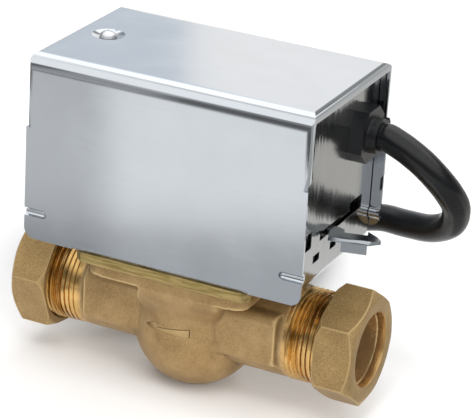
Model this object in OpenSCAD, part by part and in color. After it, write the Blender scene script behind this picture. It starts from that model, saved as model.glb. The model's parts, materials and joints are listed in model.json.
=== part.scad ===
// Motorised two-port zone valve for a 22 mm pipe.
// Frame: origin where the pipe axis meets the centre plane, X along the pipe, Y to the back, Z up.

/* [Pipe ports] */
// Outside diameter of the pipe that each port takes
pipe_d = 22; // [21:0.5:23]
// Radial clearance of the pipe in its socket
pipe_clear = 0.1; // [0.05:0.05:0.2]
// Length of the straight pipe socket
socket_l = 14; // [12:0.5:15]
// Centre of the valve to the end of each spigot
spigot_end = 48; // [47:0.5:52]
// Outside diameter of the spigot thread
thread_d = 28.5; // [28:0.5:29.5]
// Length of the threaded spigot
thread_l = 13.5; // [12:0.5:14]
// Diameter of the waterway between the sockets
bore_d = 16; // [14:0.5:17]
// Depth of the cone in the spigot mouth
cone_l = 2.1; // [1.6:0.1:2.6]
// Width of the cone in the spigot mouth
cone_w = 1.9; // [1.5:0.1:2.2]

/* [Compression nuts] */
// Width of a nut across its flats
nut_af = 32; // [31.5:0.5:34]
// Length of a nut
nut_l = 12; // [11.5:0.5:14]
// Length of spigot that the nut covers
nut_grip = 3.2; // [2.6:0.1:4]
// Thickness of the nut's end wall
nut_wall = 2.6; // [2:0.1:3]
// Bevel on the corners of the nut
nut_bevel = 1.6; // [1:0.1:2]
// Radial clearance between nut and spigot
thread_clear = 0.2; // [0.1:0.05:0.3]
// Radial clearance of the pipe in the nut's end wall
nut_clear = 0.4; // [0.3:0.05:0.6]
// Angle of one corner of the right nut
right_nut_angle = 83.5; // [60:0.5:120]
// Angle of one corner of the left nut
left_nut_angle = 111.5; // [60:0.5:120]
// Thickness of the olive at its crown
olive_t = 1.7; // [1.4:0.1:1.8]
// Gap at each end of the olive
olive_gap = 0.3; // [0.2:0.05:0.5]

/* [Body casting] */
// Outside radius of the bowl
bowl_r = 19.5; // [19:0.5:22]
// Depth of the bowl's straight side below the pipe axis
bowl_drop = 5; // [3:0.5:8]
// Wall of the bowl
bowl_wall = 3; // [2.5:0.1:3.5]
// Length of the top flange along the pipe
flange_l = 52.6; // [51:0.2:56]
// Depth of the top flange across the pipe
flange_d = 51; // [50:0.5:56]
// Corner radius of the top flange
flange_r = 5; // [3:0.5:6]
// Height of the flange's underside
flange_under = 14; // [13:0.2:15]
// Height of the flange's top face
flange_top = 18.6; // [18:0.2:20]
// Radius of the sweep from the bowl to the flange
flare_r = 5.8; // [4:0.2:6]
// Half width of the body over its flat sides
side_half = 15; // [14.6:0.1:16]
// Centre to the outer end of each flat side
side_end = 32; // [30:0.5:33]
// Lower edge of the flat sides
side_low = -7; // [-8:0.5:-5]
// Upper edge of the flat sides
side_high = 9.5; // [8:0.5:10]
// Edge radius of the flat sides
side_r = 2.5; // [1.5:0.1:3]
// Diameter of the plain neck behind each thread
neck_d = 28; // [27:0.5:29]

/* [Bonnet] */
// Length of the bonnet plate along the pipe
plate_l = 57.4; // [56:0.2:58]
// Depth of the bonnet plate across the pipe
plate_d = 57; // [55:0.2:57.4]
// Thickness of the bonnet plate
plate_t = 3.2; // [2.6:0.1:3.6]
// Corner bevel of the bonnet plate
plate_bevel = 2.5; // [1.5:0.1:4]
// Centre radius of the bonnet seal
seal_r = 18.4; // [18.2:0.1:19]
// Width of the seal groove
seal_w = 2.2; // [2:0.1:2.6]
// Depth of the seal groove
seal_depth = 1.6; // [1.4:0.1:2]
// Half spacing of the bonnet screws along the pipe
bonnet_screw_x = 20.5; // [20:0.5:22]
// Half spacing of the bonnet screws across the pipe
bonnet_screw_y = 19.5; // [19:0.5:21]
// Half spacing of the two screws that hold the head
head_screw_x = 23; // [22:0.5:24]
// Shank diameter of the bonnet and head screws
screw_d = 3.9; // [3:0.1:4]
// Radial clearance round a screw shank
screw_clear = 0.05; // [0.02:0.01:0.1]

/* [Stem and paddle] */
// Distance of the stem axis behind the pipe axis
stem_y = 11; // [10:0.5:11.5]
// Diameter of the stem
stem_d = 6; // [5:0.5:7]
// Radial running clearance of the stem
run_clear = 0.05; // [0.02:0.01:0.1]
// Outside diameter of the stem bush
bush_d = 10; // [9:0.5:10]
// Radius of the bush flange
bush_flange_r = 7; // [6.5:0.5:8]
// Thickness of the bush flange
bush_flange_t = 2; // [1.5:0.1:2.2]
// Radius of the rubber ball
ball_r = 9.5; // [9.3:0.1:9.8]
// Gap between the closed ball and its seat
seat_gap = 0.15; // [0.1:0.05:0.3]
// Wall of the seat nozzle
seat_wall = 2.2; // [1.8:0.1:2.6]
// Thickness of the crank that carries the ball
crank_t = 3.4; // [3:0.1:3.6]
// Diameter of the pin through the ball
ball_pin_d = 4.4; // [4:0.2:5]

/* [Cover] */
// Length of the cover
cover_l = 90.4; // [88:0.2:94]
// Depth of the cover
cover_d = 57.5; // [57.5:0.5:62]
// Height of the cover's top above the pipe axis
cover_top = 79.7; // [79:0.1:84]
// Height of the front wall's lower edge
cover_front_low = 22.3; // [22:0.1:24]
// Height of the back wall's lower edge
cover_back_low = 26.4; // [25:0.1:28]
// Thickness of the cover's sheet
cover_t = 0.8; // [0.6:0.1:1]
// Outside radius of the bends along the cover's front and back
cover_bend = 5; // [3:0.1:6]
// Outside radius of the bends at the cover's ends
end_bend = 2; // [1.6:0.1:2.4]
// Width of the folded lip round each end
lip_w = 2.6; // [2.5:0.1:4]
// Height at which the end lips stop
lip_low = 57.5; // [52:0.5:62]
// Corner radius of the walls' lower corners
cover_corner = 3.5; // [2:0.1:5]
// Rise of the relief over the bonnet plate
relief_h = 0.8; // [0.5:0.1:1.2]
// Height of the snap dimples
dimple_z = 30.7; // [30:0.1:33]
// Radius of the snap dimples
dimple_r = 1.3; // [1:0.1:1.5]
// Length of the snap dimples
dimple_l = 6; // [5:0.5:7]
// Distance of the cover screw from the left end of the cover
cover_screw_in = 10.6; // [9:0.1:13]
// Radius of the dish round the cover screw
dish_r = 5; // [4.4:0.1:5.6]
// Depth of the dish round the cover screw
dish_depth = 1; // [0.7:0.1:1.2]

/* [Base frame] */
// Distance from the cover's end to the end plate
frame_inset = 3.6; // [3:0.1:4.5]
// Thickness of the frame's sheet
frame_t = 1.2; // [1:0.1:1.4]
// Outside radius of the frame's bends
frame_bend = 3; // [2:0.1:3.4]
// Gap between the frame and the cover's walls
frame_gap = 0.5; // [0.3:0.1:0.8]
// Drop of the right end plate's top below the cover
frame_drop = 1.6; // [1.4:0.1:2.4]
// Length of the tab under the cover screw
tab_l = 13; // [12:0.5:18]
// Width of the tab under the cover screw
tab_w = 18; // [12:1:26]
// Height of the lever slot's lower edge
slot_low = 34.8; // [34.4:0.1:35]
// Height of the lever slot
slot_h = 2.5; // [2:0.1:3]
// Height of the lever slot at its narrow middle
slot_neck_h = 1.9; // [1.7:0.1:2]
// Height of the latch notch at the back of the slot
slot_notch_h = 4.4; // [3.5:0.1:5]

/* [Drive] */
// Gear module
gear_m = 0.8; // [0.7:0.05:0.85]
// Teeth of the whole sector wheel
sector_teeth = 66; // [60:1:66]
// Teeth of the motor pinion
pinion_teeth = 12; // [12:1:13]
// Teeth that pass the pinion from closed to open
swing_teeth = 6; // [4:1:6]
// Clearance between the flanks of the teeth
flank_clear = 0.1; // [0.08:0.01:0.2]
// Height of the sector plate's underside
sector_z = 28.5; // [28.2:0.1:29]
// Thickness of the sector plate
sector_t = 2.5; // [2:0.1:2.8]
// Radius of the sector hub
hub_r = 5; // [4.5:0.1:5.4]
// Radius of the lever pin's circle
lever_pin_r = 36; // [35:0.5:36]
// Diameter of the lever pin
lever_pin_d = 3; // [2.5:0.1:3.4]
// Height of the bridge plate's underside
bridge_z = 42; // [41:0.5:46]
// Thickness of the bridge plate
bridge_t = 1.5; // [1.2:0.1:2]
// Diameter of the bridge pillars
pillar_d = 4.4; // [4:0.2:4.6]
// Diameter of the motor can
motor_d = 45; // [42:1:46]
// Height of the motor can
motor_h = 18; // [15:0.5:22]
// Height of the motor's gear case
gearcase_h = 6; // [5:0.5:8]
// Motor axis along the pipe
motor_x = -10; // [-11:0.5:-9]

/* [Lever] */
// Height of the lever's underside
lever_z = 35.2; // [35:0.05:35.3]
// Thickness of the lever
lever_t = 1.2; // [1:0.1:1.3]
// Width of the lever where it passes the slot
lever_w = 4.8; // [4.2:0.1:5]
// Centre of the lever in its slot at rest
lever_y = -2.4; // [-2.8:0.1:-2]
// Reach of the lever past the end plate
lever_reach = 16.4; // [14:0.2:18]
// Depth of the finger tab under the lever
finger_drop = 2.9; // [2.4:0.1:3.4]

/* [Switch] */
// Length of the end switch
switch_l = 20; // [18:0.5:21]
// Depth of the end switch
switch_d = 6.4; // [6:0.1:7]
// Height of the end switch
switch_h = 10; // [9:0.1:10.4]
// Travel of the switch button
button_travel = 0.8; // [0.5:0.1:1]
// Cam radius at rest
cam_r = 22; // [21:0.5:23]

/* [Cable] */
// Diameter of the cable
cable_d = 8.5; // [8:0.1:8.6]
// Height of the gland
gland_z = 60.7; // [60:0.1:61]
// Distance of the gland behind the pipe axis
gland_y = 15; // [14.5:0.1:15.5]
// Width of the gland's head
gland_w = 15.8; // [15:0.1:17]
// Length of the gland's head
gland_head_l = 4.2; // [4:0.1:5]
// Diameter of the gland's collar
gland_collar_d = 11.4; // [10.5:0.1:12.5]
// Length of the gland's collar
gland_collar_l = 2.8; // [2.4:0.1:4]
// Turns in each of the coil's two layers
layer_turns = 1.2; // [1:0.05:1.4]
// Radius of the coil's outer turn
coil_r = 50; // [48:0.5:54]
// Step of the coil from turn to turn
coil_step = 9.2; // [9.1:0.1:10]
// Step of the coil from layer to layer
coil_lift = 9.2; // [9.1:0.1:10]
// Thickness of the strap that ties the coil
tie_t = 0.8; // [0.6:0.1:1.2]
// Width of the strap that ties the coil
tie_w = 4; // [3:0.5:6]

/* [Hidden] */
$fn = 64;
eps = 0.02;
far = 200;

// Colours
brass_cast = "#a98a58";
brass_turned = "#c9a253";
zinc = "#c3c7cc";
yellow_zinc = "#b9a552";
steel = "#9aa0a5";
lever_grey = "#6f777b";
black_plastic = "#2a2b2d";
rubber_black = "#1d1d1e";
copper = "#b06a3c";

// Pipe run
socket_r = pipe_d / 2 + pipe_clear;
bore_r = bore_d / 2;
thread_r = thread_d / 2;
thread_start = spigot_end - thread_l;
cone_start = spigot_end - cone_l;
socket_start = cone_start - socket_l;
nut_x = spigot_end - nut_grip;
nut_end = nut_x + nut_l;
nut_floor = nut_end - nut_wall;
nut_corner_r = nut_af / sqrt(3);
olive_start = spigot_end - cone_l / 3;
olive_l = nut_floor - olive_gap - olive_start;
olive_r = socket_r + 0.05;
olive_lip = 0.7;

// Body and bonnet
chamber_r = bowl_r - bowl_wall;
floor_z = -bowl_drop - bowl_r;
plate_z = flange_top;
plate_top = plate_z + plate_t;
head_d = screw_d + 3;
head_h = 2;
head_room = 0.8;

// Gear train
swing = 360 * swing_teeth / sector_teeth;
sector_pitch_r = gear_m * sector_teeth / 2;
pinion_pitch_r = gear_m * pinion_teeth / 2;
gear_centres = sector_pitch_r + pinion_pitch_r;
pressure = 20;
sector_addendum = 0.75 * gear_m;
pinion_addendum = gear_m;
root_clear = 0.25;
sector_tip_r = sector_pitch_r + sector_addendum;
sector_root_r = gear_centres - pinion_pitch_r - pinion_addendum - root_clear;
pinion_tip_r = pinion_pitch_r + pinion_addendum;
pinion_root_r = gear_centres - sector_tip_r - root_clear;
mesh_angle = 200;
pinion_x = gear_centres * cos(mesh_angle);
pinion_y = stem_y + gear_centres * sin(mesh_angle);
pinion_over = 0.4;
shaft_r = 2;
sector_top = sector_z + sector_t;
rim_inner = 0.62;
spare_tooth = 1;

// Paddle: the ball starts left of the stem plane and ends as far right of it
ball_arm = stem_y / cos(swing / 2);
ball_x = -ball_arm * sin(swing / 2);
seat_x = ball_x - sqrt(ball_r * ball_r - bore_r * bore_r) - seat_gap;
crank_gap = 1;
crank_z = ball_r + crank_gap;
crank_hub_r = bush_d / 2;
ball_pin_r = ball_pin_d / 2;
ball_pin_low = -0.6 * ball_r;

// Head
frame_x = cover_l / 2 - frame_inset;
frame_in = frame_x - frame_t;
frame_y = cover_d / 2 - cover_t - frame_gap;
frame_floor = plate_top + frame_t;
frame_top = cover_top - cover_t - frame_drop;
screw_x = -cover_l / 2 + cover_screw_in;
tab_top = cover_top - cover_t - dish_depth - 0.3;
bush_top = plate_top + bush_flange_t;
bush_low = plate_z - 1;
hub_low = bush_top + 0.4;
hub_top = sector_top + 2;
clip_z = hub_top + 0.3;
clip_t = 0.8;
stem_top = clip_z + clip_t + 1.2;
bridge_top = bridge_z + bridge_t;
pillar_x = [-36, 26];
pillar_y = frame_y - 2.8;
motor_ear_r = motor_d / 2 + 4.5;

// Lever and its pin: the pin starts in line with the lever's slot
pin_rest = asin((lever_y - stem_y) / lever_pin_r);
pin_x = lever_pin_r * cos(pin_rest);
lever_travel = lever_pin_r * (sin(pin_rest + swing) - sin(pin_rest));
pin_slack = 0.5;
fork_x0 = pin_x - 4;
fork_x1 = lever_pin_r + lever_pin_d / 2 + 1;
slot_end_gap = 0.5;
slot_front = 4.4;
slot_y0 = lever_y - lever_w / 2 - slot_front;
slot_y1 = lever_y + lever_travel + lever_w / 2 + slot_end_gap;

// Switch
switch_angle = -65;
button_out = 1.6;
button_w = 2.4;
cam_gap = 0.25;
switch_face = cam_r + cam_gap + button_out;
button_z = sector_z + sector_t / 2;
button_v = -1.5;

// Return spring
spring_wire = 1;
spring_r = 7.2;
spring_turns = 3.25;
spring_low = bush_top + 0.3 + spring_wire / 2;
spring_high = sector_z - 0.3 - spring_wire / 2;
post_angle = 60;
post_reach = 15;
post_d = 2.5;
peg_reach = 10.5;

// Gland
gland_hole_r = 6.5;
gland_end = frame_x + gland_head_l + gland_collar_l;
claw_l = 3.6;
tail_in = 12;

// Cable route: the loop at the gland, then down behind the head to the coil
coil_at = [-46, 82];
coil_z = floor_z + tie_t + 0.2 + cable_d / 2;
coil_start = [coil_at[0], coil_at[1] - coil_r, coil_z];
cable_route = [
    [gland_end, gland_y, gland_z],
    [gland_end + 1.2, gland_y, gland_z],
    [gland_end + 2.4, gland_y, gland_z],
    [54.2, 14.8, 59.6],
    [57.8, 14.7, 58],
    [62.5, 14.8, 55.2],
    [67, 15.6, 51.2],
    [70.2, 17.6, 46.6],
    [71.4, 21, 41.3],
    [68.8, 25.8, 34.2],
    [61, 31, 28.7],
    [51, 36, 26],
    [41, 40, 24.2],
    [31, 42.5, 20.3],
    [21, 43.5, 13.2],
    [11, 42.6, 3.5],
    [1, 40, -7],
    [-9, 36.3, -14.8],
    [-20, 33, -18.8],
    coil_start + [cable_d + 7.5, 0, 0],
    coil_start + [cable_d + 3.5, 0, 0],
    coil_start + [cable_d, 0, 0]
];
route_steps = 3;

// Small helpers: flat shapes, cylinders along X and sheets standing across X or Y

module rounded_rect(w, d, r) {
    square([w - 2 * r, d], center = true);
    square([w, d - 2 * r], center = true);
    for (sx = [-1, 1], sy = [-1, 1])
        translate([sx * (w / 2 - r), sy * (d / 2 - r)]) circle(r = r);
}

module bevelled_square(w, b) {
    h = w / 2;
    polygon([
        [-h + b, -h], [h - b, -h], [h, -h + b], [h, h - b],
        [h - b, h], [-h + b, h], [-h, h - b], [-h, -h + b]
    ]);
}

module x_cyl(x0, x1, r0, r1) {
    translate([x0, 0, 0]) rotate([0, 90, 0]) cylinder(h = x1 - x0, r1 = r0, r2 = r1);
}

// A flat shape drawn in (Y, Z), standing from x for a thickness t
module yz_sheet(x, t) {
    translate([x, 0, 0]) rotate([90, 0, 90]) linear_extrude(t) children();
}

// A flat shape drawn in (X, Z), standing from y for a thickness t
module xz_sheet(y, t) {
    translate([0, y + t, 0]) rotate([90, 0, 0]) linear_extrude(t) children();
}

module screw(d, length, head_r, head_t) {
    translate([0, 0, -length]) cylinder(d = d, h = length);
    difference() {
        cylinder(r = head_r, h = head_t);
        translate([-head_r, -0.4, head_t * 0.5]) cube([2 * head_r, 0.8, head_t]);
    }
}

module at_corners(x, y) {
    for (sx = [-1, 1], sy = [-1, 1]) translate([sx * x, sy * y, 0]) children();
}

module at_stem() {
    translate([0, stem_y, 0]) children();
}

// Body casting

module bowl_outline() {
    intersection() {
        union() {
            translate([0, -bowl_drop]) circle(r = bowl_r);
            translate([0, -bowl_drop]) square([bowl_r, bowl_drop + flange_under + eps]);
            difference() {
                translate([0, flange_under - flare_r]) square([bowl_r + flare_r, flare_r + eps]);
                translate([bowl_r + flare_r, flange_under - flare_r]) circle(r = flare_r);
            }
        }
        translate([0, -far]) square([far, 2 * far]);
    }
}

module side_outline() {
    translate([0, (side_low + side_high) / 2])
        rounded_rect(2 * side_half, side_high - side_low, side_r);
}

module chamber() {
    translate([0, 0, -bowl_drop]) sphere(r = chamber_r);
    translate([0, 0, -bowl_drop]) cylinder(r = chamber_r, h = far);
}

module port_cut() {
    x_cyl(0, far, bore_r, bore_r);
    x_cyl(socket_start, far, socket_r, socket_r);
    x_cyl(cone_start, spigot_end + eps, socket_r, socket_r + cone_w * (cone_l + eps) / cone_l);
}

module valve_body() {
    color(brass_cast) difference() {
        union() {
            difference() {
                union() {
                    rotate_extrude() bowl_outline();
                    x_cyl(-thread_start, thread_start, neck_d / 2, neck_d / 2);
                    x_cyl(-spigot_end, -thread_start + eps, thread_r, thread_r);
                    x_cyl(thread_start - eps, spigot_end, thread_r, thread_r);
                    yz_sheet(-side_end, 2 * side_end) side_outline();
                    translate([0, 0, flange_under])
                        linear_extrude(flange_top - flange_under)
                            rounded_rect(flange_l, flange_d, flange_r);
                }
                chamber();
            }
            x_cyl(-bowl_r, seat_x, bore_r + seat_wall, bore_r + seat_wall);
        }
        port_cut();
        mirror([1, 0, 0]) port_cut();
        translate([0, 0, flange_top - seal_depth]) difference() {
            cylinder(r = seal_r + seal_w / 2, h = far);
            translate([0, 0, -eps]) cylinder(r = seal_r - seal_w / 2, h = far);
        }
        at_corners(bonnet_screw_x, bonnet_screw_y)
            cylinder(d = screw_d + 2 * screw_clear, h = far);
    }
}

module nut(side_angle) {
    difference() {
        intersection() {
            translate([nut_x, 0, 0]) rotate([side_angle, 0, 0]) rotate([0, 90, 0])
                rotate([0, 0, 90]) cylinder(r = nut_corner_r, h = nut_l, $fn = 6);
            union() {
                x_cyl(nut_x, nut_x + nut_bevel, nut_corner_r - nut_bevel, nut_corner_r + eps);
                x_cyl(nut_x + nut_bevel - eps, nut_end - nut_bevel + eps,
                    nut_corner_r + eps, nut_corner_r + eps);
                x_cyl(nut_end - nut_bevel, nut_end, nut_corner_r + eps, nut_corner_r - 1.6 * nut_bevel);
            }
        }
        x_cyl(nut_x - eps, nut_floor, thread_r + thread_clear, thread_r + thread_clear);
        x_cyl(0, far, pipe_d / 2 + nut_clear, pipe_d / 2 + nut_clear);
    }
}

module right_compression_nut() {
    color(brass_cast) nut(right_nut_angle);
}

module left_compression_nut() {
    color(brass_cast) mirror([1, 0, 0]) nut(left_nut_angle);
}

module olive() {
    translate([olive_start, 0, 0]) rotate([0, 90, 0]) rotate_extrude() polygon([
        [olive_r, 0],
        [olive_r + olive_lip, 0],
        [olive_r + olive_t, olive_l * 0.4],
        [olive_r + olive_t, olive_l * 0.6],
        [olive_r + olive_lip, olive_l],
        [olive_r, olive_l]
    ]);
}

module right_olive() {
    color(brass_turned) olive();
}

module left_olive() {
    color(brass_turned) mirror([1, 0, 0]) olive();
}

// Bonnet

module plate_outline() {
    x = plate_l / 2;
    y = plate_d / 2;
    b = plate_bevel;
    polygon([
        [-x + b, -y], [x - b, -y], [x, -y + b], [x, y - b],
        [x - b, y], [-x + b, y], [-x, y - b], [-x, -y + b]
    ]);
}

module bonnet_plate() {
    color(yellow_zinc) translate([0, 0, plate_z]) linear_extrude(plate_t) difference() {
        plate_outline();
        at_stem() circle(d = bush_d);
        at_corners(bonnet_screw_x, bonnet_screw_y) circle(d = screw_d + 2 * screw_clear);
        for (s = [-1, 1]) translate([s * head_screw_x, 0]) circle(d = screw_d + 2 * screw_clear);
    }
}

module bonnet_seal() {
    squeeze = 0.02;
    color(rubber_black) translate([0, 0, flange_top - seal_depth / 2])
        rotate_extrude() translate([seal_r, 0]) circle(r = seal_depth / 2 - squeeze);
}

module bonnet_screws() {
    color(yellow_zinc) at_corners(bonnet_screw_x, bonnet_screw_y) translate([0, 0, plate_top])
        screw(screw_d, plate_top - flange_under, head_d / 2, head_h);
}

module stem_bush() {
    color(brass_turned) at_stem() difference() {
        union() {
            translate([0, 0, bush_low]) cylinder(d = bush_d, h = bush_top - bush_low);
            translate([0, 0, plate_top]) cylinder(r = bush_flange_r, h = bush_flange_t);
        }
        cylinder(d = stem_d + 2 * run_clear, h = far);
    }
}

// Stem, crank and ball

seal_ring_r = 0.42;
seal_ring_z = [plate_z + 0.6, plate_top - 0.2];
flat_depth = 0.7;

module valve_stem() {
    shoulder_t = 1.2;
    color(steel) at_stem() difference() {
        union() {
            translate([0, 0, crank_z]) cylinder(d = stem_d, h = stem_top - crank_z);
            translate([0, 0, bush_low - 0.1 - shoulder_t]) cylinder(r = stem_d / 2 + 1.2, h = shoulder_t);
        }
        for (z = seal_ring_z) translate([0, 0, z]) rotate_extrude()
            translate([stem_d / 2, 0]) square([4 * seal_ring_r, 2.2 * seal_ring_r], center = true);
        translate([stem_d / 2 - flat_depth, -stem_d, hub_low]) cube([stem_d, 2 * stem_d, far]);
        translate([0, 0, clip_z]) difference() {
            cylinder(d = 2 * stem_d, h = clip_t);
            cylinder(d = stem_d - 1.4, h = clip_t);
        }
    }
}

module stem_seals() {
    color(rubber_black) at_stem() for (z = seal_ring_z) translate([0, 0, z])
        rotate_extrude() translate([stem_d / 2 + run_clear / 2 - seal_ring_r, 0])
            circle(r = seal_ring_r - 0.01);
}

// The crank hangs the ball from the stem's foot, seen in its closed place
module paddle_crank() {
    arm_half = ball_pin_r + 0.5;
    arm_step = 0.4;
    color(brass_turned) difference() {
        union() {
            at_stem() translate([0, 0, crank_z]) cylinder(r = crank_hub_r, h = crank_t);
            translate([ball_x, 0, crank_z]) cylinder(r = ball_pin_r + 1.2, h = crank_t);
            at_stem() rotate([0, 0, -90 - swing / 2]) translate([0, -arm_half, crank_z + arm_step])
                cube([ball_arm, 2 * arm_half, crank_t - 2 * arm_step]);
            translate([ball_x, 0, ball_pin_low])
                cylinder(r = ball_pin_r, h = crank_z + arm_step / 2 - ball_pin_low);
        }
        at_stem() cylinder(d = stem_d + 2 * 0.01, h = far);
    }
}

module paddle_ball() {
    pin_fit = 0.03;
    color(rubber_black) translate([ball_x, 0, 0]) difference() {
        sphere(r = ball_r);
        translate([0, 0, ball_pin_low - pin_fit]) cylinder(r = ball_pin_r + pin_fit, h = far);
    }
}

// Base frame: a U-shaped channel with an end plate at each end

module u_outline(half, low, top, r) {
    translate([-half, low + r]) square([2 * half, top - low - r]);
    translate([-half + r, low]) square([2 * (half - r), top - low]);
    for (s = [-1, 1]) translate([s * (half - r), low + r]) circle(r = r);
}

// The lever slot, with its narrow middle and the latch notch at its back end, in (Y, Z)
module lever_slot() {
    neck_y = lever_y + lever_w / 2 + 6;
    notch_y = neck_y + 6;
    translate([slot_y0, slot_low]) square([slot_y1 - slot_y0, slot_neck_h]);
    translate([slot_y0, slot_low]) square([neck_y - slot_y0, slot_h]);
    translate([notch_y, slot_low]) square([slot_y1 - notch_y, slot_notch_h]);
}

// Vent window and the two lanced openings low in an end plate, in (Y, Z)
vent_y = -21.3;
vent_w = 6;
vent_h = 5.2;
lance_at = [-13.2, -1.2];
lance_w = 4.4;
lance_h = 2.4;
lance_drop = 5.8;

module end_windows() {
    translate([vent_y, slot_low]) square([vent_w, vent_h]);
    for (y = lance_at) translate([y, slot_low - lance_drop]) square([lance_w, lance_h]);
}

module frame_cuts() {
    notch_r = dimple_r + cover_t + 0.5;
    for (sy = [-1, 1]) translate([0, sy * cover_d / 2, dimple_z]) x_cyl(-far, far, notch_r, notch_r);
    at_stem() translate([0, 0, plate_top - eps]) cylinder(r = bush_flange_r + 0.3, h = 2 * frame_t);
    at_corners(bonnet_screw_x, bonnet_screw_y) translate([0, 0, plate_top - eps])
        cylinder(r = head_d / 2 + head_room, h = 2 * frame_t);
    for (s = [-1, 1]) translate([s * head_screw_x, 0, plate_top - eps])
        cylinder(d = screw_d + 2 * screw_clear, h = 2 * frame_t);
    translate([earth_x, earth_y, plate_top - eps]) cylinder(d = screw_d + 2 * screw_clear, h = 2 * frame_t);
    translate([screw_x, 0, tab_top - 2 * frame_t]) cylinder(d = screw_d + 2 * screw_clear, h = far);
    yz_sheet(frame_in - eps, frame_t + 2 * eps) union() {
        translate([gland_y, gland_z]) circle(r = gland_hole_r);
        lever_slot();
        end_windows();
    }
    yz_sheet(-frame_x - eps, frame_t + 2 * eps) end_windows();
}

earth_margin = 5.3;
earth_x = plate_l / 2 + earth_margin;
earth_y = -14;

// What the cover's bends take off the end plates' upper corners
module end_plate_corners() {
    r = cover_bend - cover_t;
    for (s = [0, 1]) mirror([0, s, 0]) yz_sheet(-far, 2 * far) difference() {
        translate([frame_y - r, frame_top - r]) square(r + 1);
        translate([frame_y - r, frame_top - r]) circle(r = r);
    }
}

module base_frame() {
    color(zinc) difference() {
        union() {
            difference() {
                xz_sheet(-frame_y, 2 * frame_y) difference() {
                    u_outline(frame_x, plate_top, frame_top, frame_bend);
                    u_outline(frame_in, frame_floor, far, frame_bend - frame_t);
                }
                translate([-far, -far, tab_top]) cube([far, 2 * far, far]);
                end_plate_corners();
            }
            translate([-frame_x, -tab_w / 2, tab_top - frame_t]) cube([tab_l, tab_w, frame_t]);
        }
        frame_cuts();
    }
}

module head_screws() {
    color(zinc) for (s = [-1, 1]) translate([s * head_screw_x, 0, frame_floor])
        screw(screw_d, frame_t + plate_t, head_d / 2, head_h);
}

module earth_screw() {
    nut_t = 2.4;
    color(brass_turned) translate([earth_x, earth_y, frame_floor]) {
        screw(screw_d, frame_t + nut_t, head_d / 2, head_h);
        translate([0, 0, -frame_t - nut_t]) difference() {
            cylinder(d = head_d + 1, h = nut_t, $fn = 6);
            cylinder(d = screw_d - eps, h = nut_t);
        }
    }
}

// Cover: a folded hood, open at its ends below the lips

module hood_outline(half, top, r) {
    translate([-half, 0]) square([2 * half, top - r]);
    translate([-half + r, 0]) square([2 * (half - r), top]);
    for (s = [-1, 1]) translate([s * (half - r), top - r]) circle(r = r);
}

module hood(inset) {
    half_l = cover_l / 2 - inset;
    half_d = cover_d / 2 - inset;
    end_r = end_bend - inset;
    intersection() {
        yz_sheet(-half_l, 2 * half_l) hood_outline(half_d, cover_top - inset, cover_bend - inset);
        xz_sheet(-half_d, 2 * half_d) hood_outline(half_l, cover_top - inset, end_r);
        translate([0, 0, lip_low]) linear_extrude(far) rounded_rect(2 * half_l, 2 * half_d, end_r);
    }
}

module end_opening() {
    half = cover_d / 2;
    slant = 3.6;
    polygon([
        [-half + lip_w, cover_top - lip_w], [half - lip_w, cover_top - lip_w],
        [half - lip_w, lip_low + slant], [half, lip_low], [half, 0],
        [-half, 0], [-half, lip_low], [-half + lip_w, lip_low + slant]
    ]);
}

module wall_outline(low) {
    half = cover_l / 2;
    r = cover_corner;
    translate([-half, low + r]) square([2 * half, lip_low - low - r]);
    translate([-half + r, low]) square([2 * (half - r), lip_low - low]);
    for (s = [-1, 1]) translate([s * (half - r), low + r]) circle(r = r);
}

// Pressed grooves at the walls' ends, each with a round inner end
module dimples(r) {
    inner = cover_l / 2 - dimple_l;
    for (sx = [-1, 1], sy = [-1, 1]) translate([0, sy * cover_d / 2, dimple_z]) {
        x_cyl(sx < 0 ? -cover_l / 2 : inner, sx < 0 ? -inner : cover_l / 2, r, r);
        translate([sx * inner, 0, 0]) sphere(r = r);
    }
}

module cover() {
    dish_ball = (dish_r * dish_r + dish_depth * dish_depth) / (2 * dish_depth);
    color(zinc) difference() {
        union() {
            difference() {
                hood(0);
                hood(cover_t);
                yz_sheet(-far, 2 * far) end_opening_core();
            }
            xz_sheet(-cover_d / 2, cover_t) wall_outline(cover_front_low);
            xz_sheet(cover_d / 2 - cover_t, cover_t) wall_outline(cover_back_low);
            intersection() {
                dimples(dimple_r + cover_t);
                translate([-cover_l / 2, -cover_d / 2, 0]) cube([cover_l, cover_d, far]);
            }
            translate([screw_x, 0, cover_top - cover_t - dish_depth])
                cylinder(r = dish_r + cover_t, h = cover_t + dish_depth - eps);
        }
        dimples(dimple_r);
        translate([screw_x, 0, cover_top - dish_depth + dish_ball]) sphere(r = dish_ball);
        translate([screw_x, 0, 0]) cylinder(d = screw_d + 0.6, h = far);
        xz_sheet(-cover_d / 2 - eps, cover_t + 2 * eps)
            translate([-plate_l / 2, cover_front_low - far]) square([plate_l, far + relief_h]);
    }
}

// The part of the end opening that lies inside the folded walls
module end_opening_core() {
    intersection() {
        end_opening();
        translate([-cover_d / 2 + cover_t, 0]) square([cover_d - 2 * cover_t, far]);
    }
}

module cover_screw() {
    dome_h = 1.8;
    rim_z = 0.55;
    seat_z = cover_top - dish_depth;
    shank = 8;
    dome_r = (head_d * head_d / 4 + dome_h * dome_h) / (2 * dome_h);
    color(zinc) translate([screw_x, 0, seat_z]) {
        translate([0, 0, -shank]) cylinder(d = screw_d, h = shank + eps);
        difference() {
            intersection() {
                translate([0, 0, dome_h - dome_r]) sphere(r = dome_r);
                translate([0, 0, rim_z]) cylinder(d = head_d, h = far);
            }
            translate([-head_d, -0.5, dome_h - 0.7]) cube([2 * head_d, 1, far]);
        }
        cylinder(d = screw_d, h = rim_z + eps);
    }
}

// Gear teeth: involute flanks as points at a few radii

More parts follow.
